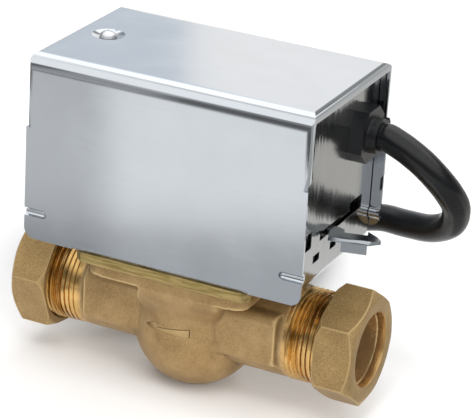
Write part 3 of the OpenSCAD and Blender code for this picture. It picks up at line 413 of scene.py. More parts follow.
@dataclass(frozen=True)
class Moulded(Finish):
    """Moulded plastic or rubber: even colour, a fine spark-eroded skin and a soft gloss."""

    colour: str
    roughness: float = 0.45
    skin_mm: float = 0.4
    patch_mm: float = 9.0
    depth: float = 0.25
    specular: float = 0.5

    def dress(self, tree: NodeTree, place: NodeSocket) -> Feeds:
        """Adds the moulded skin and faint rubbed patches.

        Args:
            tree: the material's node tree.
            place: object coordinates.

        Returns:
            What goes into the shader's inputs.
        """
        eroded = {"Vector": place, "Scale": per_mm(self.skin_mm), "Detail": 2.0}
        skin = add_node(tree, "ShaderNodeTexNoise", eroded).outputs["Fac"]
        patches = {"Vector": place, "Scale": per_mm(self.patch_mm), "Detail": 4.0}
        rubbed = add_node(tree, "ShaderNodeTexNoise", patches).outputs["Fac"]
        tones = ((0.35, tone(self.colour, 0.904)), (0.7, tone(self.colour, 1.13)))
        colour = add_node(tree, "ShaderNodeValToRGB", {"Fac": rubbed}, tones)
        spread = {"Value": rubbed, "To Min": self.roughness - 0.1, "To Max": self.roughness + 0.1}
        dull = add_node(tree, "ShaderNodeMapRange", spread)
        relief = {"Height": skin, "Strength": self.depth, "Distance": 0.05 * MM}
        bump = add_node(tree, "ShaderNodeBump", relief)
        return {
            "Base Color": colour.outputs["Color"],
            "Specular IOR Level": self.specular,
            "Roughness": dull.outputs[0],
            "Normal": bump.outputs[0],
        }


@dataclass(frozen=True)
class CoreInsulation(Finish):
    """Extruded insulation in wiring colours, with bare copper at the tips; colours lie on the mesh."""

    roughness: float = 0.38
    skin_mm: float = 0.8

    def dress(self, tree: NodeTree, place: NodeSocket) -> Feeds:
        """Reads each core's colour from the mesh and adds a soft extruded skin.

        Args:
            tree: the material's node tree.
            place: object coordinates.

        Returns:
            What goes into the shader's inputs.
        """
        paint = add_node(tree, "ShaderNodeAttribute", attribute_name="core_colour")
        drawn = {"Vector": place, "Scale": per_mm(self.skin_mm), "Detail": 2.0}
        skin = add_node(tree, "ShaderNodeTexNoise", drawn).outputs["Fac"]
        bump = add_node(tree, "ShaderNodeBump", {"Height": skin, "Strength": 0.15, "Distance": 0.05 * MM})
        return {
            "Base Color": paint.outputs["Color"],
            "Roughness": self.roughness,
            "Normal": bump.outputs[0],
        }


CAST_BRASS = CastBrass("cast_brass_blasted", "#A6895C")
NUT_BRASS = CastBrass(
    "forged_brass_nut", "#9B7F51", shade="#836841", light="#B69968", grit_share=0.68, roughness=0.48
)
THREAD_BRASS = TurnedBrass("brass_cut_thread", "#DDB672", roughness=0.22)
BORE_BRASS = TurnedBrass("brass_bored", "#D0A970", ring_mm=0.4, roughness=0.27, metallic=0.88)
OLIVE_BRASS = TurnedBrass("brass_olive", "#E8C48C", ring_mm=0.5, roughness=0.25, metallic=0.85)
COVER_ZINC = ZincSheet("zinc_plated_cover_sheet", "#D2D7DC", roughness=0.09)
PLATE_ZINC = ZincSheet(
    "zinc_plated_end_plate",
    "#BBBCBD",
    grain=Grain.UPRIGHT,
    roughness=0.16,
    streak=0.5,
    line_mm=0.6,
    tilt=0.05,
)
SCREW_ZINC = ZincSheet("zinc_plated_screw", "#F0F1F3", roughness=0.42, streak=0.02)
LEVER_ZINC = ZincSheet("zinc_plated_lever", "#B4BABF")
YELLOW_ZINC = YellowPassivate("yellow_passivated_zinc", "#A4905A")
STEEL = PlainSteel("plain_steel", "#8F959A")
NYLON = Moulded("black_nylon_moulded", "#101113", roughness=0.36, skin_mm=0.5, depth=0.3, specular=0.6)
SHEATH = Moulded("black_pvc_sheath", "#0A0B0C", roughness=0.26, skin_mm=0.7, depth=0.1)
SEAL = Moulded("black_seal_rubber", "#1B1B1C", roughness=0.6)
BUTTON = Moulded("red_acetal_button", "#8A2F2A", roughness=0.35)
LEADS = Moulded("brown_pvc_leads", "#6B3F22", roughness=0.38)
CORES = CoreInsulation("core_insulation")

SLOT_FINISH: dict[str, Finish] = {
    "cast_brass": CAST_BRASS,
    "turned_brass": BORE_BRASS,
    "zinc_sheet": COVER_ZINC,
    "yellow_zinc": YELLOW_ZINC,
    "plain_steel": STEEL,
    "lever_steel": LEVER_ZINC,
    "black_nylon": NYLON,
    "cable_pvc": SHEATH,
    "seal_rubber": SEAL,
    "core_insulation": LEADS,
    "button_red": BUTTON,
}


def lay_piece(obj: Object, finish: Finish, body: str, slot: str, *nodes: str) -> Object:
    """Gives a finished piece its material and body, and hides the CAD nodes that it replaces.

    Args:
        obj: the piece, in place.
        finish: its finish.
        body: CAD body that it moves with.
        slot: material slot of the record; not used.
        nodes: CAD nodes that it replaces.

    Returns:
        The same piece.
    """
    if not obj.data.materials:
        obj.data.materials.append(finish.build())
    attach(obj, body)
    if nodes:
        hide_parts(*nodes)
    LOG.info("piece %s rides on %s", obj.name, body)
    return obj


def smooth(obj: Object, sharp_deg: float) -> Object:
    """Shades a piece smooth, apart from its sharp edges.

    Args:
        obj: the piece.
        sharp_deg: edges sharper than this stay crisp.

    Returns:
        The same piece.
    """
    obj.data.shade_smooth()
    obj.data.set_sharp_from_angle(angle=math.radians(sharp_deg))
    return obj


def place_mesh(mesh: Mesh) -> Object:
    """Puts a mesh into the scene as an object of its own name.

    Args:
        mesh: the mesh.

    Returns:
        The new object.
    """
    obj = bpy.data.objects.new(mesh.name, mesh)
    bpy.context.scene.collection.objects.link(obj)
    return obj


def mesh_piece(
    name: str, points: Iterable[Sequence[float]], faces: Iterable[Sequence[int]], sharp_deg: float = 35.0
) -> Object:
    """Makes an object from points in millimetres.

    Args:
        name: name of the piece.
        points: points in millimetres.
        faces: point numbers of each face.
        sharp_deg: edges sharper than this stay crisp.

    Returns:
        The new object, smooth-shaded, with its faces outwards.
    """
    mesh = bpy.data.meshes.new(name)
    mesh.from_pydata([tuple(c * MM for c in p) for p in points], [], [list(f) for f in faces])
    shape = bmesh.new()
    shape.from_mesh(mesh)
    bmesh.ops.remove_doubles(shape, verts=shape.verts, dist=1e-7)
    bmesh.ops.recalc_face_normals(shape, faces=shape.faces)
    shape.to_mesh(mesh)
    shape.free()
    return smooth(place_mesh(mesh), sharp_deg)


def cad_copy(node: str, name: str, sharp_deg: float = 24.0) -> Object:
    """Copies a CAD node's mesh into a new piece with joined, smooth faces.

    Args:
        node: CAD node.
        name: name of the new piece.
        sharp_deg: edges sharper than this stay crisp.

    Returns:
        The new piece.
    """
    mesh = frame["nodes"][node].data.copy()
    mesh.name = name
    mesh.materials.clear()
    shape = bmesh.new()
    shape.from_mesh(mesh)
    bmesh.ops.remove_doubles(shape, verts=shape.verts, dist=2e-6)
    bmesh.ops.dissolve_degenerate(shape, edges=shape.edges, dist=1e-6)
    shape.to_mesh(mesh)
    shape.free()
    return smooth(place_mesh(mesh), sharp_deg)


def loft(rings: Sequence[Sequence[Sequence[float]]], close: bool = False) -> tuple[list, list]:
    """Joins rings of equal length into a skin.

    Args:
        rings: rings of points.
        close: whether the last ring joins the first; if not, both ends are capped.

    Returns:
        Points and faces.
    """
    count = len(rings[0])
    points = [p for ring in rings for p in ring]
    faces = []
    for i in range(len(rings) if close else len(rings) - 1):
        a, b = i * count, (i + 1) % len(rings) * count
        faces += [(a + k, a + (k + 1) % count, b + (k + 1) % count, b + k) for k in range(count)]
    if not close:
        faces += [tuple(range(count))[::-1], tuple((len(rings) - 1) * count + k for k in range(count))]
    return points, faces


def full_turn(count: int) -> list[float]:
    """Angles of evenly spaced points round a circle."""
    return [math.tau * k / count for k in range(count)]


def pipe_ring(spot: Spot, angles: Sequence[float]) -> list[Point]:
    """Ring round the pipe axis.

    Args:
        spot: place along the pipe and radius at an angle, in radians from the back (+Y) to the top (+Z).
        angles: angles of the points.

    Returns:
        The ring's points.
    """
    ring = []
    for a in angles:
        x, r = spot(a)
        ring.append((x, r * math.cos(a), r * math.sin(a)))
    return ring


def settle(obj: Object) -> Object:
    """Turns a piece's modifiers into plain mesh.

    Args:
        obj: piece with modifiers.

    Returns:
        The same piece, with none left.
    """
    graph = bpy.context.evaluated_depsgraph_get()
    mesh = bpy.data.meshes.new_from_object(obj.evaluated_get(graph), depsgraph=graph)
    old = obj.data
    obj.modifiers.clear()
    obj.data = mesh
    mesh.name = obj.name
    bpy.data.meshes.remove(old)
    return obj


def carve(obj: Object, *tools: tuple[str, Object]) -> None:
    """Adds boolean steps to a piece, in order.

    Args:
        obj: the piece.
        tools: Blender's name of each operation and the shape that does it.
    """
    for operation, tool in tools:
        step = obj.modifiers.new(tool.name, "BOOLEAN")
        step.operation = operation
        step.object = tool
        step.solver = "EXACT"


def rounded(obj: Object, width_mm: float, segments: int = 2, angle_deg: float = 50.0) -> Object:
    """Breaks a piece's sharp edges and keeps its flat faces flat to the light.

    Args:
        obj: the piece.
        width_mm: width of the bevel.
        segments: steps across it.
        angle_deg: edges flatter than this are left alone.

    Returns:
        The same piece.
    """
    bevel = obj.modifiers.new("edge", "BEVEL")
    bevel.width = width_mm * MM
    bevel.segments = segments
    bevel.limit_method = "ANGLE"
    bevel.angle_limit = math.radians(angle_deg)
    bevel.use_clamp_overlap = True
    level = obj.modifiers.new("flat_faces", "WEIGHTED_NORMAL")
    level.mode = "FACE_AREA_WITH_ANGLE"
    level.weight = 100
    level.keep_sharp = True
    return obj


@dataclass
class FlyingLead:
    """Round black cable: out of the gland, down behind the head and into a tied coil on the floor."""

    diameter: float = 8.5
    floor: float = -24.5
    tie: float = 0.8
    slack: float = 0.2
    coil_at: tuple[float, float] = (-46.0, 82.0)
    coil_r: float = 50.0
    step: float = 9.2
    lift: float = 9.2
    layer_turns: float = 1.2
    climb_turns: float = 0.5
    # Centreline from the gland to the floor, and the last straight steps before the coil.
    route: tuple[Point, ...] = (
        (48.6, 15, 60.7), (49.8, 15, 60.7), (51, 15, 60.7), (54.2, 14.8, 59.6),
        (57.8, 14.7, 58), (62.5, 14.8, 55.2), (67, 15.6, 51.2), (70.2, 17.6, 46.6),
        (71.4, 21, 41.3), (68.8, 25.8, 34.2), (61, 31, 28.7), (51, 36, 26),
        (41, 40, 24.2), (31, 42.5, 20.3), (21, 43.5, 13.2), (11, 42.6, 3.5),
        (1, 40, -7), (-9, 36.3, -14.8), (-20, 33, -18.8),
    )
    run_in: Point = (7.5, 3.5, 0.0)
    # Bared cores: colours of their insulation, how far they stand from the middle, their radii.
    core_colours: tuple[str, ...] = ("#6B3F22", "#2C5FA8", "#7C9B2E", "#8B8D8F", "#C9661E")
    copper: str = "#B87440"
    core_spread: float = 2.4
    core_r: float = 1.15
    wire_r: float = 0.55

    def coil_low(self) -> float:
        """Height of the lower layer's centreline."""
        return self.floor + self.tie + self.slack + self.diameter / 2

    def inner_r(self) -> float:
        """Radius where the lower layer ends."""
        return self.coil_r - self.step * self.layer_turns

    def sag_in(self) -> float:
        """How far the climb to the upper layer swings inwards."""
        return self.step * self.climb_turns / math.pi

    def coil_point(self, turn: float) -> Vector:
        """Point of the coil's centreline.

        Args:
            turn: turns from the coil's start.

        Returns:
            The point in millimetres.
        """
        past = turn - self.layer_turns
        if past < 0:
            radius = self.coil_r - self.step * turn
        elif past < self.climb_turns:
            radius = self.inner_r() - self.sag_in() * math.sin(math.pi * past / self.climb_turns)
        else:
            radius = self.inner_r() + self.step * (past - self.climb_turns)
        f = max(0.0, min(1.0, past / self.climb_turns))
        angle = -math.pi / 2 - math.tau * turn
        x = self.coil_at[0] + radius * math.cos(angle)
        y = self.coil_at[1] + radius * math.sin(angle)
        return Vector((x, y, self.coil_low() + self.lift * f * f * (3 - 2 * f)))

    def path(self) -> list[Vector]:
        """Centreline from the gland to the cut end.

        Returns:
            Points in millimetres.
        """
        steps, steps_per_turn = 6, 48
        start = Vector((self.coil_at[0], self.coil_at[1] - self.coil_r, self.coil_low()))
        knots = [Vector(p) for p in self.route]
        knots += [start + Vector((self.diameter + d, 0, 0)) for d in self.run_in]
        line: list[Vector] = []
        for i in range(len(knots) - 1):
            a, b, c, d = (knots[max(0, min(len(knots) - 1, i + k))] for k in (-1, 0, 1, 2))
            square = a - 2.5 * b + 2 * c - d / 2
            cube = 1.5 * b - 1.5 * c + (d - a) / 2
            for s in range(steps):
                t = s / steps
                line.append(b + t * (c - a) / 2 + t * t * square + t**3 * cube)
        turns = 2 * self.layer_turns + self.climb_turns
        count = math.ceil(turns * steps_per_turn)
        line.append(knots[-1])
        line += [self.coil_point(turns * i / count) for i in range(count + 1)]
        line.append(line[-1] + (line[-1] - line[-2]).normalized() * self.diameter)
        return line

    @staticmethod
    def tube(line: Sequence[Vector], radius: float, count: int) -> tuple[list, list]:
        """Sweeps a round section along a line without twist.

        Args:
            line: centreline.
            radius: radius of the section.
            count: points round it.

        Returns:
            Points and faces.
        """
        rings = []
        side = Vector((0, 0, 1))
        for i, p in enumerate(line):
            ahead = (line[min(i + 1, len(line) - 1)] - line[max(i - 1, 0)]).normalized()
            side = (side - side.dot(ahead) * ahead).normalized()
            across = ahead.cross(side)
            rings.append([p + radius * (math.cos(a) * side + math.sin(a) * across) for a in full_turn(count)])
        return loft(rings)

    def build_strap(self) -> Object:
        """Makes the strap round the coil.

        Returns:
            The piece.
        """
        half, edge, outer_break, inner_break = 2.0, 0.15, 0.15, 0.12
        low = self.coil_low() - self.diameter / 2 - self.slack
        high = low + self.lift + self.diameter + 2 * self.slack
        near = self.inner_r() - self.sag_in() - self.diameter / 2 - self.slack
        far = self.coil_r + self.diameter / 2 + self.slack
        middle = Vector((self.coil_at[0], self.coil_at[1] + (near + far) / 2, (low + high) / 2))
        places = (-half, edge - half, half - edge, half)
        outer = zip(places, (self.tie - outer_break, self.tie, self.tie, self.tie - outer_break))
        inner = zip(places[::-1], (inner_break, 0.0, 0.0, inner_break))
        rings = [
            self.strap_ring(middle + Vector((x, 0, 0)), (far - near) / 2, (high - low) / 2, out)
            for x, out in (*outer, *inner)
        ]
        strap = mesh_piece("coil_strap", *loft(rings, close=True))
        return lay_piece(strap, NYLON, HOUSING, "black_nylon", "coil_tie")

    @staticmethod
    def strap_ring(middle: Vector, half_w: float, half_h: float, out: float) -> list[Vector]:
        """Rounded rectangle across the coil's bundle.

        Args:
            middle: its middle.
            half_w: half its width.
            half_h: half its height.
            out: how far it is grown.

        Returns:
            Its points.
        """
        corner_r, count = 1.2, 48
        ring = []
        for a in full_turn(count):
            y = math.copysign(half_w - corner_r, math.cos(a)) + (corner_r + out) * math.cos(a)
            z = math.copysign(half_h - corner_r, math.sin(a)) + (corner_r + out) * math.sin(a)
            ring.append(middle + Vector((0, y, z)))
        return ring

    def build_cores(self, line: Sequence[Vector]) -> Object:
        """Makes the five bared cores at the cut end.

        Args:
            line: the cable's centreline.

        Returns:
            The piece.
        """
        sunk, bared, overlap, tip, count = -0.4, 18.0, 0.1, 24.0, 12
        end, ahead = line[-1], (line[-1] - line[-2]).normalized()
        side = Vector((0, 0, 1))
        across = ahead.cross(side)
        points: list = []
        faces: list = []
        paint: list[tuple[float, float, float, float]] = []
        for angle, colour in zip(full_turn(len(self.core_colours)), self.core_colours):
            out = self.core_spread * (math.cos(angle) * side + math.sin(angle) * across)
            sheathed = (sunk, bared, self.core_r, colour)
            for start, stop, radius, shade in (sheathed, (bared - overlap, tip, self.wire_r, self.copper)):
                run = [end + ahead * (start + (stop - start) * i / 4) + out for i in range(5)]
                made, skin = self.tube(run, radius, count)
                faces += [[i + len(points) for i in f] for f in skin]
                points += made
                paint += [linear(shade)] * len(made)
        piece = mesh_piece("core_tails", points, faces)
        layer = piece.data.color_attributes.new("core_colour", "FLOAT_COLOR", "POINT")
        for item, colour in zip(layer.data, paint):
            item.color = colour
        return lay_piece(piece, CORES, HOUSING, "core_insulation", "core_ends")

    def build(self) -> None:
        """Makes the cable, its strap and its bare cores."""
        line = self.path()
        cable = mesh_piece("flying_lead", *self.tube(line, self.diameter / 2, 28))
        lay_piece(cable, SHEATH, HOUSING, "cable_pvc", "cable_lead", "cable_coil")
        strap = self.build_strap()
        cores = self.build_cores(line)


@dataclass
class CompressionPort:
    """One port: threaded spigot, olive and hexagon nut."""

    side: Side
    corner_deg: float
    spigot_end: float = 48.0
    thread_start: float = 34.5
    thread_r: float = 14.25
    pitch: float = 1.5
    ridge: float = 0.74
    socket_r: float = 11.0
    socket_start: float = 31.9
    bore_r: float = 7.97
    bore_start: float = 20.0
    olive_r: float = 11.1
    olive_start: float = 47.3
    olive_l: float = 6.6
    nut_x: float = 44.8
    nut_end: float = 56.8
    nut_floor: float = 54.2
    nut_clear_r: float = 14.45
    across_flats: float = 32.0
    hole_r: float = 11.4
    # How far the nut's skin is rubbed bright: its faces, bevels, rims and corners.
    wear_and_light_plain: float = 0.04
    wear_and_light_bevel: float = 0.4
    wear_and_light_rim: float = 0.3
    wear_and_light_corner: float = 0.42

    def word(self) -> str:
        """Name of the side in piece names."""
        return self.side.name.lower()

    def lathe(self, name: str, profile: Sequence[tuple[float, float]]) -> Object:
        """Turns a closed outline round the pipe axis.

        Args:
            name: what the piece is, after its side.
            profile: places along the pipe, outwards, and radii.

        Returns:
            The piece.
        """
        count, sharp_deg = 120, 30.0
        rings = [
            pipe_ring(lambda a, x=x, r=r: (self.side.value * x, r), full_turn(count)) for x, r in profile
        ]
        return mesh_piece(f"{self.word()}_{name}", *loft(rings, close=True), sharp_deg=sharp_deg)

    def build_spigot(self) -> None:
        """Makes the bored spigot under the thread, with a lead-in for the olive and a step for the pipe."""
        root = self.thread_r - 0.65
        neck, step = self.thread_start - 0.8, self.socket_start - 0.9
        wall_r, sleeve_r = self.socket_r + 0.5, self.bore_r + 0.6
        outside = [
            (neck, root + 0.35),
            (self.thread_start + 0.4, root + 0.35),
            (self.thread_start + 0.9, root),
            (self.spigot_end - 0.8, root),
            (self.spigot_end, root - 0.25),
        ]
        inside = [
            (self.spigot_end, self.socket_r + 1.9),
            (self.spigot_end - 2.1, self.socket_r),
            (self.socket_start + 0.1, self.socket_r),
            (self.socket_start + 0.1, self.bore_r + 0.4),
            (self.socket_start - 0.3, self.bore_r),
            (self.bore_start, self.bore_r),
        ]
        hidden = [(self.bore_start, sleeve_r), (step, sleeve_r), (step, wall_r), (neck, wall_r)]
        spigot = self.lathe("spigot", outside + inside + hidden)
        lay_piece(spigot, BORE_BRASS, HOUSING, "turned_brass")

    def build_thread(self) -> None:
        """Winds the thread's ridge along the spigot with a node tree."""
        start, end = self.thread_start + 0.5, self.spigot_end - 0.4
        tree = thread_tree()
        holder = place_mesh(bpy.data.meshes.new(f"{self.word()}_thread"))
        modifier = holder.modifiers.new("thread", "NODES")
        modifier.node_group = tree
        values = {
            "Turns": (end - start) / self.pitch,
            "Radius": (self.thread_r - self.ridge) * MM,
            "Length": (end - start) * MM,
            "Ridge": self.ridge * MM,
            "Foot": (start if self.side is Side.RIGHT else -end) * MM,
            "Finish": THREAD_BRASS.build(),
        }
        for item in tree.interface.items_tree:
            if item.item_type == "SOCKET" and item.in_out == "INPUT" and item.name in values:
                modifier[item.identifier] = values[item.name]
        smooth(settle(holder), 40)
        lay_piece(holder, THREAD_BRASS, HOUSING, "turned_brass")

    def nut_lines(self) -> list[tuple[Spot, float]]:
        """Lines round the nut, from its back round the outside to its hole.

        Returns:
            Each line, and how far the skin there is rubbed bright.
        """
        corner = math.radians(self.corner_deg)
        flat = self.across_flats / 2
        face_r, slope = flat - 0.3, 1.55
        back_r = self.corner_r() - 1.6
        middle = (self.nut_x + self.nut_end) / 2

        def hexagon(a: float) -> float:
            """Radius of the hexagon, with its corners just broken."""
            return min(flat / math.cos((a - corner) % (math.pi / 3) - math.pi / 6), self.corner_r() - 0.09)

        def near(inset: float, shrink: float = 0.0) -> Spot:
            """Line round the nut where the back bevel starts, moved along by inset."""
            start = self.nut_x + 0.12 + inset
            return lambda a: (start + max(0.0, hexagon(a) - back_r), hexagon(a) - shrink)

        def end(inset: float, shrink: float = 0.0) -> Spot:
            """Line round the nut where the end bevel starts, moved back by inset."""
            return lambda a: (self.nut_end - (hexagon(a) - face_r) / slope - inset, hexagon(a) - shrink)

        def level(x: float, r: float) -> Spot:
            """A plain circle."""
            return lambda a: (x, r)

        return [
            (level(self.nut_x + 0.5, self.nut_clear_r), self.wear_and_light_plain),
            (level(self.nut_x, self.nut_clear_r + 0.5), self.wear_and_light_plain),
            (lambda a: (self.nut_x, min(hexagon(a), back_r) - 0.12), self.wear_and_light_plain),
            (near(0.0, 0.02), self.wear_and_light_bevel),
            (near(0.4), self.wear_and_light_plain),
            (lambda a: (middle, hexagon(a)), self.wear_and_light_plain),
            (end(0.45), self.wear_and_light_plain),
            (end(0.1), self.wear_and_light_bevel),
            (end(-0.08, 0.08), self.wear_and_light_bevel),
            (end(-0.2, 0.34), self.wear_and_light_bevel / 2),
            (level(self.nut_end - 0.1, face_r + 0.02), self.wear_and_light_plain),
            (level(self.nut_end, face_r - 0.2), self.wear_and_light_plain),
            (level(self.nut_end, self.hole_r + 0.45), self.wear_and_light_plain),
            (level(self.nut_end - 0.1, self.hole_r + 0.15), self.wear_and_light_rim),
            (level(self.nut_end - 0.4, self.hole_r), self.wear_and_light_rim),
            (level(self.nut_floor, self.hole_r), self.wear_and_light_plain),
            (level(self.nut_floor, self.nut_clear_r), self.wear_and_light_plain),
        ]

    def corner_r(self) -> float:
        """Radius of the hexagon's corners."""
        return self.across_flats / 2 / math.cos(math.pi / 6)

    def build_nut(self) -> None:
        """Makes the hexagon nut with crisp corners, bevelled ends and a bored hole."""
        # Degrees from one corner to the next, closer together beside a corner.
        steps = (0, 0.5, 1.1, 2.2, 4.5, 8, 12, 16, 20, 24, 27)
        steps += (30, 33, 36, 40, 44, 48, 52, 55.5, 57.8, 58.9, 59.5)
        corner = math.radians(self.corner_deg)
        angles = [corner + math.radians(60 * k + d) for k in range(6) for d in steps]
        rings = []
        wear_and_light = []
        for spot, rub_and_light in self.nut_lines():
            rings.append([(self.side.value * x, y, z) for x, y, z in pipe_ring(spot, angles)])
            wear_and_light += [rub_and_light] * len(angles)
        nut = mesh_piece(f"{self.word()}_nut", *loft(rings, close=True), sharp_deg=42)
        self.mark_wear(nut, dict(zip((self.key(p) for ring in rings for p in ring), wear_and_light)))
        nut.data.materials.append(NUT_BRASS.build())
        nut.data.materials.append(BORE_BRASS.build())
        for face in nut.data.polygons:
            x, y, z = (c / MM for c in face.center)
            in_hole = math.hypot(y, z) < self.hole_r + 0.1 and abs(x) > self.nut_floor - 0.1
            face.material_index = int(in_hole)
        lay_piece(nut, NUT_BRASS, f"{self.word()}_nut", "cast_brass", f"{self.word()}_compression_nut")

    @staticmethod
    def key(point: Iterable[float]) -> tuple[float, ...]:
        """A point in millimetres, rounded so that it can be found again."""
        return tuple(round(c, 3) for c in point)

    def mark_wear(self, nut: Object, given: dict[tuple[float, ...], float]) -> None:
        """Writes how far each point of the nut is rubbed bright: along its corners and bevels.

        Args:
            nut: the nut.
            given: wear of its points before they were joined.
        """
        reach, third = math.radians(0.8), math.pi / 3
        layer = nut.data.attributes.new("wear_and_light", "FLOAT", "POINT")
        for item, vertex in zip(layer.data, nut.data.vertices):
            x, y, z = (c / MM for c in vertex.co)
            bearing = math.atan2(z, y) - math.radians(self.corner_deg)
            off = abs((bearing + third / 2) % third - third / 2)
            on_corner = off < reach and math.hypot(y, z) > self.corner_r() - 1.2
            rub_and_light = given.get(self.key((x, y, z)), self.wear_and_light_plain)
            item.value = max(rub_and_light, self.wear_and_light_corner if on_corner else 0.0)

    def build_olive(self) -> None:
        """Makes the barrel-shaped olive between spigot and nut, with a bright chamfer up to the nut."""
        start, inner, stop = self.olive_start, self.olive_r, self.nut_floor - 0.08
        shares = (0, 0.06, 0.15, 0.3, 0.5, 0.7, 0.85, 0.94, 1)
        barrel = [(start + self.olive_l * t, inner + 0.7 + math.sin(math.pi * t) ** 0.8) for t in shares]
        chamfer = [(stop, inner + 0.6), (stop, inner + 0.4), (stop - 0.4, inner)]
        olive = self.lathe("olive_ring", [(start + 0.3, inner), *barrel, *chamfer])
        lay_piece(olive, OLIVE_BRASS, f"{self.word()}_olive_ring", "turned_brass", f"{self.word()}_olive")

    def build(self) -> None:
        """Makes all pieces of the port."""
        self.build_spigot()
        self.build_thread()
        self.build_olive()
        self.build_nut()


def thread_tree() -> GeometryNodeTree:
    """Node tree that winds a ridge round the pipe axis.

    Returns:
        The tree, made once.
    """
    made = bpy.data.node_groups.get("wound_thread")
    if made:
        return made
    tree = bpy.data.node_groups.new("wound_thread", "GeometryNodeTree")
    for name in ("Turns", "Radius", "Length", "Ridge", "Foot"):
        tree.interface.new_socket(name, in_out="INPUT", socket_type="NodeSocketFloat")
    tree.interface.new_socket("Finish", in_out="INPUT", socket_type="NodeSocketMaterial")
    tree.interface.new_socket("Geometry", in_out="OUTPUT", socket_type="NodeSocketGeometry")
    given = add_node(tree, "NodeGroupInput").outputs
    winding = {
        "Resolution": 96,
        "Rotations": given["Turns"],
        "Start Radius": given["Radius"],
        "End Radius": given["Radius"],
        "Height": given["Length"],
    }
    spiral = add_node(tree, "GeometryNodeCurveSpiral", winding).outputs[0]
    diamond = {"Resolution": 4, "Radius": given["Ridge"]}
    section = add_node(tree, "GeometryNodeCurvePrimitiveCircle", diamond).outputs[0]
    sweep = {"Curve": spiral, "Profile Curve": section, "Fill Caps": True}
    ridge = add_node(tree, "GeometryNodeCurveToMesh", sweep).outputs[0]
    foot = add_node(tree, "ShaderNodeCombineXYZ", {"X": given["Foot"]}).outputs[0]
    along_pipe = {"Geometry": ridge, "Translation": foot, "Rotation": (0.0, math.pi / 2, 0.0)}
    laid = add_node(tree, "GeometryNodeTransform", along_pipe).outputs[0]
    real = add_node(tree, "GeometryNodeRealizeInstances", {"Geometry": laid}).outputs[0]
    dressed = add_node(tree, "GeometryNodeSetMaterial", {"Geometry": real, "Material": given["Finish"]})
    add_node(tree, "NodeGroupOutput", {"Geometry": dressed.outputs[0]})
    return tree


